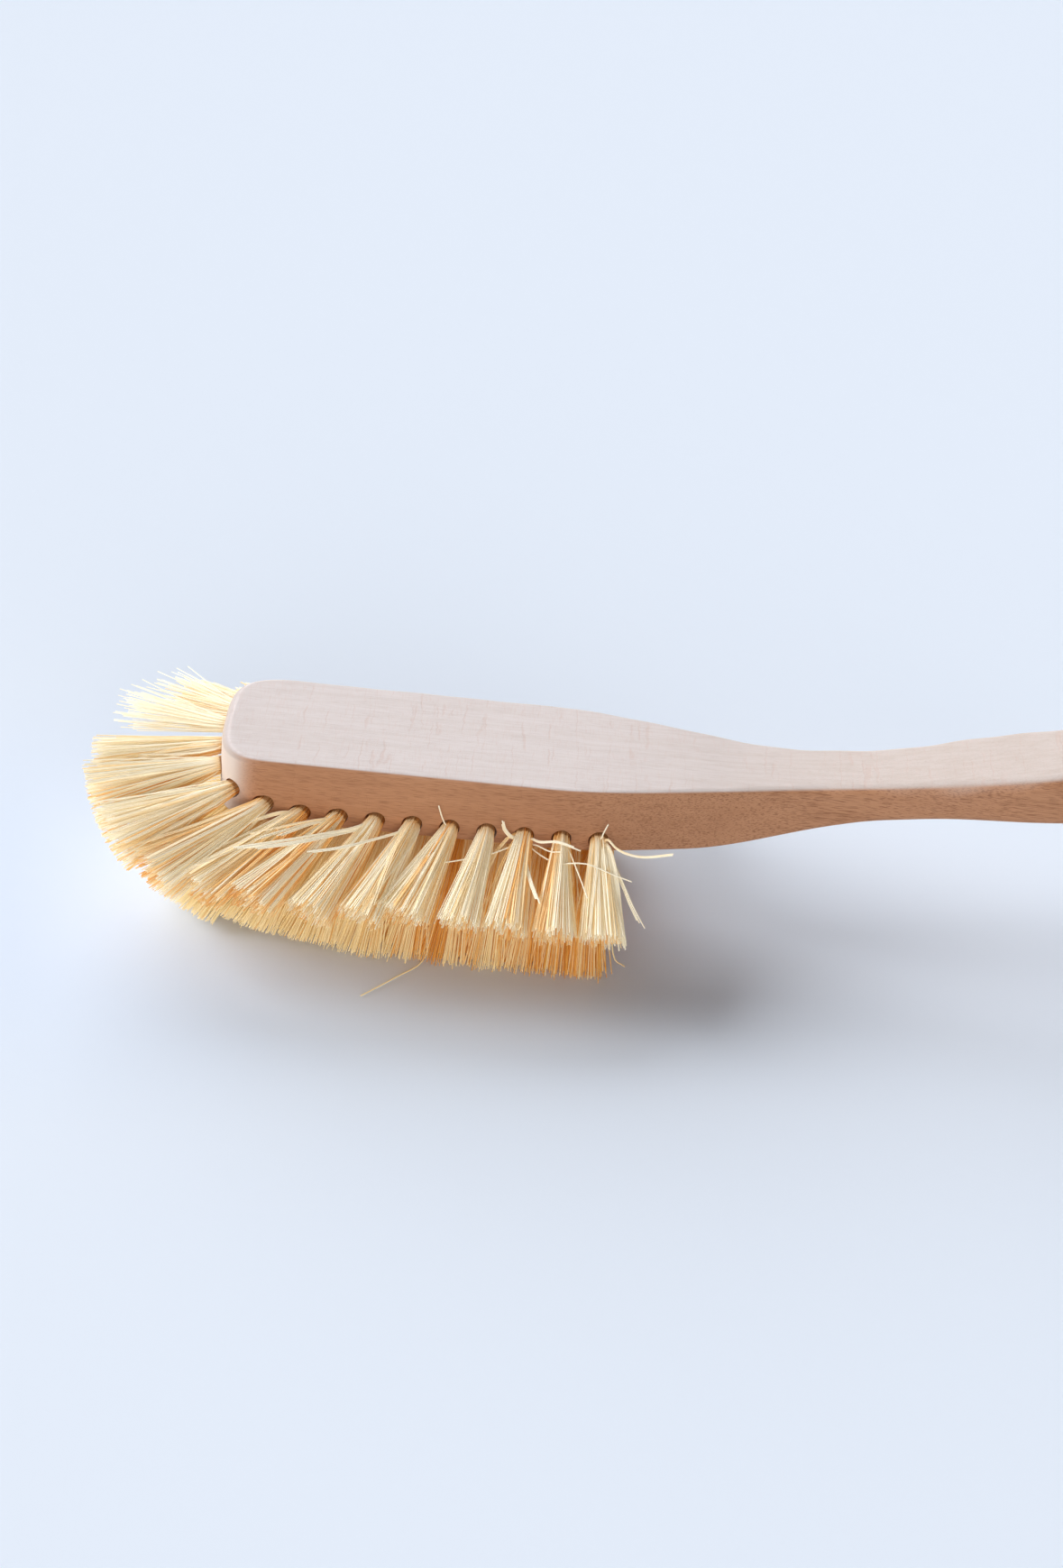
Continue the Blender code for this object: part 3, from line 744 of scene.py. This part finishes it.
# Fibres, in millimetres. They lie in flat ribbons of a few fibres each; fans are half widths at the tips.
fibreShape = {
    "width": 0.34, "widthSpread": 0.2, "taper": 0.22, "flatness": (1.12, 0.86), "sides": 4,
    "sharpAngle": 60, "firstSeed": 1000,
    "rootDepth": 2.4, "rootRadius": 1.82, "rootScatter": 0.05, "bow": 0.07, "sway": 0.25,
    "clumps": 13, "clumpScatter": 0.16, "clumpReach": 1.04, "clumpTone": 0.17,
    "ribbonPitch": 0.3, "pitchSpread": (0.85, 1.15), "ribbonTurn": 0.5, "ribbonFan": 1.25,
    "tipScatter": 0.05, "fibreScatter": 0.12, "trimPower": 1.5, "hemTrim": 0.07, "hemSlope": 3,
    "wildShare": 0.05, "wildScatter": 0.3, "wildSway": 1.3, "wildTrim": (-0.14, 0.03),
    "nose": {"ribbons": 106, "fibres": (1, 2), "steps": 6, "fan": (8.4, 5), "trim": 0.07, "pull": 0.16},
    "side": {"ribbons": 76, "fibres": (1, 3), "steps": 6, "fan": (5.8, 4), "trim": 0.06, "pull": 0.26},
    "inner": {"ribbons": 250, "fibres": (1, 1), "steps": 5, "fan": (7.6, 5), "trim": 0.055, "pull": 0.04},
    "centre": {"ribbons": 130, "fibres": (1, 1), "steps": 5, "fan": (5.8, 7), "trim": 0.03, "pull": 0.16},
    "levelTrim": 1.3, "underReach": 37.5, "underWidth": 0.27, "floorGap": 0.35,
    "wispyTrim": 0.2, "wispyWidth": 0.26,
    # the tufts under the head are toned deeper as painted shade
    "tone": 0.5, "underShadeTone": -0.13, "upperPaintedLit": 0.34, "toneSpread": 0.3, "fibreToneSpread": 0.06,
}
# Tufts painted paler than the rest: the nose tufts as painted light against their shade, and a few side
# tufts;
# also the first ones of each row under the head, whose painted shade eases towards the nose, and the far nose
# tufts, whose fibres stand apart
paleAndLitTufts = {
    "nose_5": 0.12, "nose_4": 0.6, "nose_3": 0.34, "nose_2": 0.04, "nose_1": 0.18, "left_05": 0.08,
    "left_07": 0.14, "left_09": 0.06, "left_10": 0.1,
}
underLitTowardsNose = (1, 0.96, 0.8, 0.56, 0.34, 0.18, 0.1, 0, 0, 0)
wispyTufts = ("nose_5", "nose_4")
# Tufts cut longer or shorter than their row, so that the hem runs smoothly from nose to side
longTufts = {"inner_left_01": 1.03, "inner_left_02": 1.01, "left_01": 1.02, "nose_1": 0.985}
# The side of a fan that is nearer to the handle is cut back, by up to this share of its fibres'
# length. Counted from 1 at the forward edge to -1 at the edge by the handle, the cut starts at
# heelStart and is full after heelRun.
heelTrim = {"inner_left_01": 0.08, "inner_left_02": 0.1, "inner_left_03": 0.08, "inner_left_04": 0.04}
heelStart, heelRun = 0.5, 1.5
# The last tufts under the head bend towards the nose, by this much halfway, in millimetres
bentTufts = {"inner_left_10": 3.4, "inner_right_10": 3.4, "inner_left_09": 1.4, "inner_right_09": 1.4}
# Where single tufts differ from the even rows: a move of the tip, the fan's growth across and
# depthwise, and the share of the fibres. The left tufts are the ones that face the camera.
evenHabit = ((0, 0, 0), (1, 1), 1)
tuftHabit = {
    "nose_5": ((5, 3.5, 2.6), (0.95, 1.1), 0.68), "nose_4": ((3, 3.2, 2.6), (0.8, 1.1), 0.95),
    "nose_3": ((0, -1.2, 0.8), (0.88, 1.1), 1.1), "nose_2": ((0, 0, 1.6), (1.05, 2.1), 1.45),
    "nose_1": ((0, 0, 3), (1.15, 1.8), 1.45),
    "left_01": ((-0.8, 0.4, 1.6), (1.7, 1.9), 1.6), "left_02": ((-0.6, 0, 1.9), (1.3, 1.6), 1.3),
    "left_03": ((-1.7, 0, 1.4), (1.25, 1.4), 1.2), "left_04": ((1, 0, 0.3), (1.15, 1.2), 1.1),
    "left_05": ((0, 0, 0.3), (1.05, 1.1), 1), "left_06": ((-2.7, 0, 0.3), (1.4, 1.1), 1.15),
    "left_07": ((-0.6, 0, 0.9),), "left_08": ((-1.1, 0, 0.5),), "left_09": ((-0.2, 0, -0.8),),
    "left_10": ((1.2, 0, -1.8), (1, 1), 1.1),
    "right_01": ((-0.4, 0, 1.6), (1.2, 1.4), 1.2), "right_02": ((-0.6, 0, 1.9), (1.2, 1.3), 1.1),
    "inner_left_01": ((-9.2, -1.4, 9), (1.5, 1.5), 1.8),
    "inner_left_02": ((-6.5, -2.6, 3), (1.6, 1.2), 1.6),
    "inner_left_03": ((-3, -2, 0), (1.5, 1), 1.4),
    "inner_left_04": ((-1, -1.5, 0), (1.25, 1), 1.2),
    "inner_left_07": ((-1, 0, 0),), "inner_left_08": ((-2, 0, 0),),
    "inner_left_09": ((-3.2, 0, 0),), "inner_left_10": ((-5.4, 0, 0), (0.72, 1)),
    "inner_right_09": ((-3.2, 0, 0),), "inner_right_10": ((-5.4, 0, 0), (0.72, 1)),
    "inner_right_01": ((-9, -2, 17), (1.45, 1.5), 1.6),
    "inner_right_02": ((-5, 1.5, 0), (1.35, 1.2), 1.3),
    "inner_right_03": ((-2, 2, 0), (1.15, 1), 1.1),
    "centre_01": ((-7, 0, 12), (1.5, 1.6), 1.7), "centre_02": ((-3, 0, 0), (1.2, 1.3), 1.2),
}


def addFibre(store, path, width, tone, spin, flat=1.0, facing=None):
    # a fibre along path, cut square at both ends; flat makes it a ribbon that faces one way
    f, sides = fibreShape, fibreShape["sides"]
    first, count, across = len(store.verts), len(path), None
    for i, place in enumerate(path):
        ahead = (path[min(i + 1, count - 1)] - path[max(i - 1, 0)]).normalized()
        if facing:
            across = ahead.cross(facing)
        elif across is None:
            across = ahead.orthogonal()
        across = (across - ahead * across.dot(ahead)).normalized()
        other = ahead.cross(across)
        share = i / (count - 1)
        radius = width / 2 * (1.0 - f["taper"] * share / flat)
        for k in range(sides):
            turn = spin + 2 * pi * k / sides
            # plant fibre is a little flat
            store.verts.append(place + across * (cos(turn) * radius * f["flatness"][0] * flat)
                               + other * (sin(turn) * radius * f["flatness"][1]))
            store.along.append(share)
            store.tone.append(tone)
    for i in range(count - 1):
        for k in range(sides):
            j = (k + 1) % sides
            a, b = first + i * sides, first + (i + 1) * sides
            store.faces.append((a + k, a + j, b + j, b + k))
    store.faces.append(tuple(first + k for k in range(sides))[::-1])
    store.faces.append(tuple(first + (count - 1) * sides + k for k in range(sides)))


def disc(i, count):
    radius = sqrt((i + 0.5) / count)
    return radius * cos(i * goldenTurn), radius * sin(i * goldenTurn)


def tuftNature(tuft):
    # what all the fibres of one tuft have in common
    f, plan, name = fibreShape, fibreShape[tuft.kind], tuft.name
    habit = tuftHabit.get(name, ())
    lean, growth, share = habit + evenHabit[len(habit):]
    axis, across, depthwise = tuft.drill, tuft.across, tuft.depthwise
    longer = longTufts.get(name, 1)
    rootAcross = (across - axis * across.dot(axis)).normalized()
    rootDepthwise = (depthwise - axis * depthwise.dot(axis)
                     - rootAcross * depthwise.dot(rootAcross)).normalized()
    nature = SimpleNamespace(
        wispy=name in wispyTufts, bend=bentTufts.get(name, 0), heelTrim=heelTrim.get(name, 0), growth=growth,
        lift=lean[2], tip=tuft.tip + Vector(lean), ribbons=round(plan["ribbons"] * share), width=f["width"],
        trim=plan["trim"], rootAcross=rootAcross, rootDepthwise=rootDepthwise)
    if nature.wispy:
        nature.width, nature.trim = f["wispyWidth"], f["wispyTrim"]
    if tuft.under:
        nature.width = f["underWidth"]
        nature.tone = f["tone"] + (f["underShadeTone"] + underLitTowardsNose[int(name[-2:]) - 1])
        nature.reach = f["underReach"] * longer
    else:
        nature.tone = f["tone"] + paleAndLitTufts.get(name, 0)
        nature.reach = (tuft.tip - tuft.mouth).length * longer
    return nature


def cutEnd(tuft, nature, mouth, end, trimmed, v, draw):
    # where the shears cut a fibre that runs from mouth towards end
    f = fibreShape
    if tuft.under:
        # the forward fibres of a raised tuft end above the floor, at full reach
        raised = nature.lift * smooth(v)
        end.z = -standHeight + f["floorGap"] + draw.random() ** 2 * f["levelTrim"] + raised
        run = end - mouth
        stretch = nature.reach * trimmed / run.length
        end = mouth + run * (stretch if raised else min(1.0, stretch))
    else:
        # every fibre of a fold is cut to one reach, a little less below
        run = (end - mouth).normalized()
        fallen = max(0.0, (tuft.tip - tuft.mouth).normalized().z - run.z)
        lowered = 1 - f["hemTrim"] * min(1.0, fallen * f["hemSlope"])
        end = mouth + run * (nature.reach * trimmed * lowered)
    end.z = max(end.z, -standHeight + f["floorGap"])
    return end


def bowedPath(tuft, nature, mouth, end, swayU, swayV):
    # leaves the hole at the drill's angle and bends over to the tip
    f, steps, run = fibreShape, fibreShape[tuft.kind]["steps"], end - mouth
    knee = mouth.lerp(end, f["bow"]) + (tuft.drill - run.normalized()) * (run.length * f["bow"])
    path = [mouth - tuft.drill * f["rootDepth"]]
    for step in range(steps):
        t = step / (steps - 1)
        place = mouth * (1 - t) ** 2 + knee * (2 * t * (1 - t)) + end * t ** 2
        place.x -= nature.bend * 4 * t * (1 - t)
        bend = sin(pi * t)
        path.append(place + tuft.across * (swayU * bend) + tuft.depthwise * (swayV * bend))
    return path


def growRibbon(store, tuft, nature, clumps, spot, draw):
    # u is the place across the tuft and v the place depthwise, each from -1 to 1
    f, plan, growth = fibreShape, fibreShape[tuft.kind], nature.growth
    u, v = (place + draw.uniform(-f["rootScatter"], f["rootScatter"]) for place in spot)
    clump = min(clumps, key=lambda c: (c[0] - u) ** 2 + (c[1] - v) ** 2)
    wild = draw.random() < f["wildShare"]
    scatter = f["wildScatter"] if wild else f["tipScatter"]
    tipU = mix(u, clump[0] * f["clumpReach"], plan["pull"]) + draw.gauss(0, scatter)
    tipV = mix(v, clump[1] * f["clumpReach"], plan["pull"]) + draw.gauss(0, scatter)
    turn = draw.uniform(-1, 1) * f["ribbonTurn"]
    sway = f["wildSway"] if wild else f["sway"]
    swayU, swayV = draw.gauss(0, sway), draw.gauss(0, sway)
    # painted light and shade: the upper and outer fibres of a tuft are painted paler, the lower and inner
    # ones deeper
    tone = nature.tone + f["upperPaintedLit"] * v + clump[2] + draw.gauss(0, f["toneSpread"])
    together = 1 if nature.wispy else draw.randint(*plan["fibres"])
    for k in range(together):
        aside = (k - (together - 1) / 2) * f["ribbonPitch"] * draw.uniform(*f["pitchSpread"])
        asideU, asideV = aside * cos(turn), aside * sin(turn)
        width = nature.width * (1 + draw.uniform(-1, 1) * f["widthSpread"])
        mouth = (tuft.mouth + nature.rootAcross * (u * f["rootRadius"] + asideU)
                 + nature.rootDepthwise * (v * f["rootRadius"] + asideV))
        fanU = tipU * plan["fan"][0] * growth[0] + asideU * f["ribbonFan"] + draw.gauss(0, f["fibreScatter"])
        fanV = tipV * plan["fan"][1] * growth[1] + asideV * f["ribbonFan"] + draw.gauss(0, f["fibreScatter"])
        end = nature.tip + tuft.across * fanU + tuft.depthwise * fanV
        trimmed = 1 - nature.trim * draw.random() ** f["trimPower"]
        if wild:
            trimmed += draw.uniform(*f["wildTrim"])
        trimmed -= nature.heelTrim * max(0.0, (heelStart - tipU) / heelRun)
        end = cutEnd(tuft, nature, mouth, end, trimmed, v, draw)
        path = bowedPath(tuft, nature, mouth, end, swayU, swayV)
        fibreTone = min(1.0, max(0.0, tone + draw.gauss(0, f["fibreToneSpread"])))
        addFibre(store, path, width, fibreTone, draw.random() * pi)


def growTuft(tuft, order):
    f, nature, clumps = fibreShape, tuftNature(tuft), []
    draw = random.Random(f["firstSeed"] + order)
    store = SimpleNamespace(verts=[], faces=[], along=[], tone=[])
    for k in range(f["clumps"]):
        u, v = (place + draw.uniform(-f["clumpScatter"], f["clumpScatter"]) for place in disc(k, f["clumps"]))
        clumps.append((u, v, draw.gauss(0, f["clumpTone"])))
    for i in range(nature.ribbons):
        growRibbon(store, tuft, nature, clumps, disc(i, nature.ribbons), draw)
    for line in looseFibres.get(tuft.name, ()):
        addLoose(store, tuft, line, draw)
    return store


# Fibres that have sprung out of line. Those of the outer rows are one to three that stick together
# side by side, with ragged ends; those from under the head are single.
looseShape = {
    "together": (1, 3), "pitch": 0.28, "pitchGrowth": 0.6, "facing": Vector((0.0, -0.8, 0.6)),
    "flat": (1.0, 1.3), "rootDepth": 2, "rootRise": 0.6, "rootSpread": 0.8, "ends": (0.66, 1.06), "steps": 4,
    "tone": (0.75, 1.05), "toneSpread": 0.1,
}
# Their routes: moves from the mouth of the tuft's hole, in millimetres
looseFibres = {
    "left_02": [
        [(-2, -1, 0.5), (-5, -2.5, 1), (-10, -4.5, 0), (-14, -6, -0.8)]],
    "left_03": [
        [(-3, -2.2, 0.6), (-7, -4.6, 1), (-11, -6.6, 0.9), (-14.4, -8.2, 0.4)],
        [(-3, -2.5, 0.4), (-8, -6, 0.8), (-13, -9.2, 0.6), (-17.9, -12, 0)],
        [(-2.5, -2.8, 0.6), (-6, -5.6, 1.1), (-9.5, -8.4, 1), (-13.2, -10.8, 0.4)],
        [(-2, -2.4, 0.9), (-6, -4.6, 1.4), (-11, -7.4, 1.4), (-19.5, -10.6, 0.4)]],
    "left_04": [
        [(-2, -2.5, 0.6), (-6, -6, 1), (-15, -11, 1.4), (-24, -15, 1.4), (-32, -18, 1)],
        [(-2, -3, 0), (-8, -7.5, 0.6), (-17, -13, 1), (-29, -17, 0.4)]],
    "left_05": [
        [(-2, -3, 0), (-6.5, -7, 0.5), (-15, -13, 1), (-25, -17.5, 1.2)]],
    "left_06": [
        [(-1, -1, 1.5), (-2, -1.5, 4), (-3, -2, 7.5)]],
    "left_08": [
        [(2, -2, 0.5), (4, -3, 0.6), (8, -4.5, 2.2), (13.5, -6, 1.6)],
        [(2, -2.5, -0.5), (3.5, -3.5, -0.2), (6.4, -5, -0.4), (9, -6, 0.6)],
        [(1.5, -3, -1), (7.5, -7, -1.9), (15, -9, 0), (21.5, -10, -1.6), (26, -11, -2.4)],
        [(-1, -1.5, 0), (-3, -2, 0.6), (-4.7, -3, 3.2), (-5.5, -3.5, 6)],
        [(-1.5, -2.5, -0.5), (-3.2, -4, -1), (-8.3, -7, -1.7), (-15.3, -9.5, -2.4), (-18.7, -10.5, -2.6)],
        [(0, -5, -0.6), (2, -13, -2.6), (4.5, -20, -4.2)]],
    "left_09": [
        [(2, -4, -0.4), (4.6, -12, -1.2), (7, -18, -3.2)]],
    "left_10": [
        [(0.4, -1.5, 1.5), (0.8, -2, 3.6), (1.6, -3, 7)],
        [(2, -2.5, 2.2), (4.2, -4, 1), (7.1, -5.5, 0.7), (11.1, -6.5, 1.1), (17, -7.5, 3.3)],
        [(2.4, -3.5, 0), (5.2, -9.5, -2.8), (8.2, -14.5, -6.6), (11.2, -18.5, -10)],
        [(2.6, -4, -0.4), (5.8, -10, -3), (9, -15, -6.8), (12.3, -19, -10.2)],
        [(2.4, -3.5, 0.9), (4.7, -9.5, -2.2), (6.5, -18, -7.5), (8.2, -25, -12.2)],
        [(2.2, -3.5, 0.6), (4.2, -10, -2.6), (6, -18, -7.4), (7.6, -25.4, -12.6)],
        [(2.1, -3.5, 0.6), (3.5, -10.5, -2.6), (5, -18.5, -7.3), (6.5, -25.5, -12.6)],
        [(1.8, -4.5, 0.3), (2.9, -11, -2.7), (4.2, -18.5, -6.6), (5.6, -25, -11.6)],
        [(1.6, -4.5, 0.3), (2.4, -11, -2.6), (3.2, -18.5, -6.2), (4.4, -24.5, -10.9)],
        [(0.9, -4.5, 0.4), (1.8, -11, -2.6), (2.3, -18.5, -6.1), (3.2, -25.5, -11.2)]],
    "inner_left_05": [
        [(0, -9, -15), (0.5, -16, -25), (1, -21, -29.2), (-5, -28, -29.4), (-12.5, -36, -29.4)]],
    "inner_left_10": [
        [(0.5, -9, -12), (2, -18, -23.5), (5, -21.5, -24.5)]],
}


def curveThrough(points, steps):
    # smooth line through the points
    path = []
    for i in range(len(points) - 1):
        before = points[i - 1] if i else points[0] * 2 - points[1]
        a, b = points[i], points[i + 1]
        after = points[i + 2] if i + 2 < len(points) else b * 2 - a
        for step in range(steps):
            t = step / steps
            path.append(0.5 * ((2 * a) + (b - before) * t + (2 * before - 5 * a + 4 * b - after) * t ** 2
                               + (3 * a - before - 3 * b + after) * t ** 3))
    return path + [points[-1]]


def addLoose(store, tuft, line, draw):
    loose, axis = looseShape, tuft.drill
    aside = tuft.across * draw.uniform(-loose["rootSpread"], loose["rootSpread"])
    points = [tuft.mouth - axis * loose["rootDepth"] + aside, tuft.mouth + axis * loose["rootRise"] + aside]
    points += [tuft.mouth + Vector(move) for move in line]
    together = 1 if tuft.under else draw.randint(*loose["together"])
    beside = (points[-1] - points[1]).cross(loose["facing"]).normalized()
    tone = draw.uniform(*loose["tone"])
    for k in range(together):
        aside = beside * (loose["pitch"] * (k - (together - 1) / 2))
        strand = [place + aside * (loose["pitchGrowth"] + loose["pitchGrowth"] * i / len(points))
                  for i, place in enumerate(points)]
        strand[-1] = strand[-2].lerp(strand[-1], 1.0 if together == 1 else draw.uniform(*loose["ends"]))
        fibreTone = min(1.0, tone + draw.gauss(0, loose["toneSpread"]))
        flat = 1.0 if together == 1 else draw.uniform(*loose["flat"])
        addFibre(store, curveThrough(strand, loose["steps"]), fibreShape["width"], fibreTone, 0.0, flat,
                 loose["facing"])


def buildTufts():
    total = 0
    for order, tuft in enumerate(tufts):
        store = growTuft(tuft, order)
        mesh = bpy.data.meshes.new(tuft.name)
        mesh.from_pydata([tuple(v) for v in store.verts], [], store.faces)
        for label, values in (("fibreTone", store.tone), ("fibreAlong", store.along)):
            layer = mesh.attributes.new(label, "FLOAT", "POINT")
            layer.data.foreach_set("value", values)
        mesh.materials.append(shadedUnderFibre if tuft.under else outerFibre)
        mesh.shade_smooth()
        mesh.set_sharp_from_angle(angle=radians(fibreShape["sharpAngle"]))
        addPiece("fibres_" + tuft.name, mesh, ["tuft_" + tuft.name])
        total += sum(len(face) - 2 for face in store.faces)
    print("stage: tufts grown,", len(tufts), "tufts,", total, "triangles")


buildTufts()

# Floor and light
studio = {
    "floorPaint": paint(228, 238, 253), "floorSize": 12, "floorRoughness": (0.55, 0.63),
    "cloudPaint": paint(223, 233, 249), "cloudScale": 3, "cloudShare": 0.12,
    "cloudLimits": (0.3, 0.7),
    # cooler paint round a place before the nose, where the bristles throw warm light on the floor
    "coolPaint": paint(218, 232, 254), "coolPlace": (-28, -12, -47), "coolReach": (6, 100),
    "skyPaint": paint(246, 248, 252), "skyStrength": 0.06,
    "lamps": {
        # where it comes from, strength, spread in degrees, paint
        "windowLight": ((-0.87, 0.04, 0.49), 2.86, 36, paint(255, 254, 252)),
        "backLight": ((-0.42, 0.77, 0.48), 2.46, 55, paint(255, 254, 253)),
        "warmFill": ((0.1, -0.98, 0.18), 2, 50, paint(255, 251, 245)),
    },
}


def buildFloor():
    s = studio
    half = s["floorSize"] / 2
    mesh = bpy.data.meshes.new("floorSheet")
    corners = [(x * half, y * half, 0) for x, y in ((-1, -1), (1, -1), (1, 1), (-1, 1))]
    mesh.from_pydata(corners, [], [(0, 1, 2, 3)])
    material, tree, shader = newMaterial("paleFloor")
    cloud = noise(addNode(tree, "TexCoord").outputs["Object"], s["cloudScale"])
    cloudShare = calc("MULTIPLY", cloud, s["cloudShare"])
    floorPaint = mixPaint(cloudShare, s["floorPaint"], s["cloudPaint"])
    both = {0: millimetres(tree), 1: Vector(s["coolPlace"]) + toRow}
    away = addNode(tree, "VectorMath", both, operation="DISTANCE").outputs["Value"]
    cool = mapTo(away, *s["coolReach"], 1, 0)
    fill(shader, {"Base Color": mixPaint(cool, floorPaint, s["coolPaint"]), "Specular IOR Level": 0,
                  "Roughness": mapTo(cloud, *s["cloudLimits"], *s["floorRoughness"])})
    mesh.materials.append(material)
    addObject("floorSheet", mesh)


def buildSky():
    s = studio
    world = bpy.data.worlds.new("studioSky")
    scene.world = world
    world.use_nodes = True
    tree = world.node_tree
    sky = tree.nodes["Background"]
    fill(sky, {"Color": s["skyPaint"], "Strength": s["skyStrength"]})
    # behind the floor's edge the camera, gloss and glass see the floor's own colour
    backdrop = addNode(tree, "Background", {"Color": s["floorPaint"], "Strength": 1.0})
    rays = addNode(tree, "LightPath").outputs
    mirrored = calc("MAXIMUM", rays["Is Glossy Ray"], rays["Is Transmission Ray"])
    seen = calc("MAXIMUM", rays["Is Camera Ray"], mirrored)
    both = addNode(tree, "MixShader", {0: seen, 1: sky.outputs[0], 2: backdrop.outputs[0]})
    fill(tree.nodes["World Output"], {"Surface": both.outputs[0]})


def buildLamps():
    for name, (place, strength, spread, colour) in studio["lamps"].items():
        lamp = bpy.data.lights.new(name, "SUN")
        lamp.energy = strength
        lamp.color = colour[:3]
        lamp.angle = radians(spread)
        sun = addObject(name, lamp)
        sun.rotation_mode = "QUATERNION"
        sun.rotation_quaternion = Vector(place).to_track_quat("Z", "Y")
        sun.location = Vector(place) * 2


# Camera angles in degrees, place in millimetres from the nose tip; the photograph is taller than wide
cameraPlan = {"azimuth": -1.207, "elevation": 35, "roll": 6.357, "place": (63.2, -535.3, 363.3),
              "focalPixels": 3000, "longSide": 1739, "sensor": 36, "clip": (0.01, 50)}


def placeCamera():
    c = cameraPlan
    azimuth, elevation, roll = (radians(c[name]) for name in ("azimuth", "elevation", "roll"))
    back = Vector((sin(azimuth) * cos(elevation), -cos(azimuth) * cos(elevation), sin(elevation)))
    level = up.cross(back).normalized()
    upright = back.cross(level)
    right = level * cos(roll) + upright * sin(roll)
    top = upright * cos(roll) - level * sin(roll)
    lens = bpy.data.cameras.new("camera")
    lens.sensor_width = c["sensor"]
    lens.lens = c["focalPixels"] * c["sensor"] / c["longSide"]
    lens.clip_start, lens.clip_end = c["clip"]
    camera = addObject("camera", lens)
    camera.rotation_mode = "QUATERNION"
    camera.rotation_quaternion = Matrix((right, top, back)).transposed().to_quaternion()
    camera.location = (Vector(c["place"]) + toRow) / metre
    scene.camera = camera


buildFloor()
buildSky()
buildLamps()
placeCamera()
scene.view_settings.view_transform = "Standard"
print("stage: studio set")
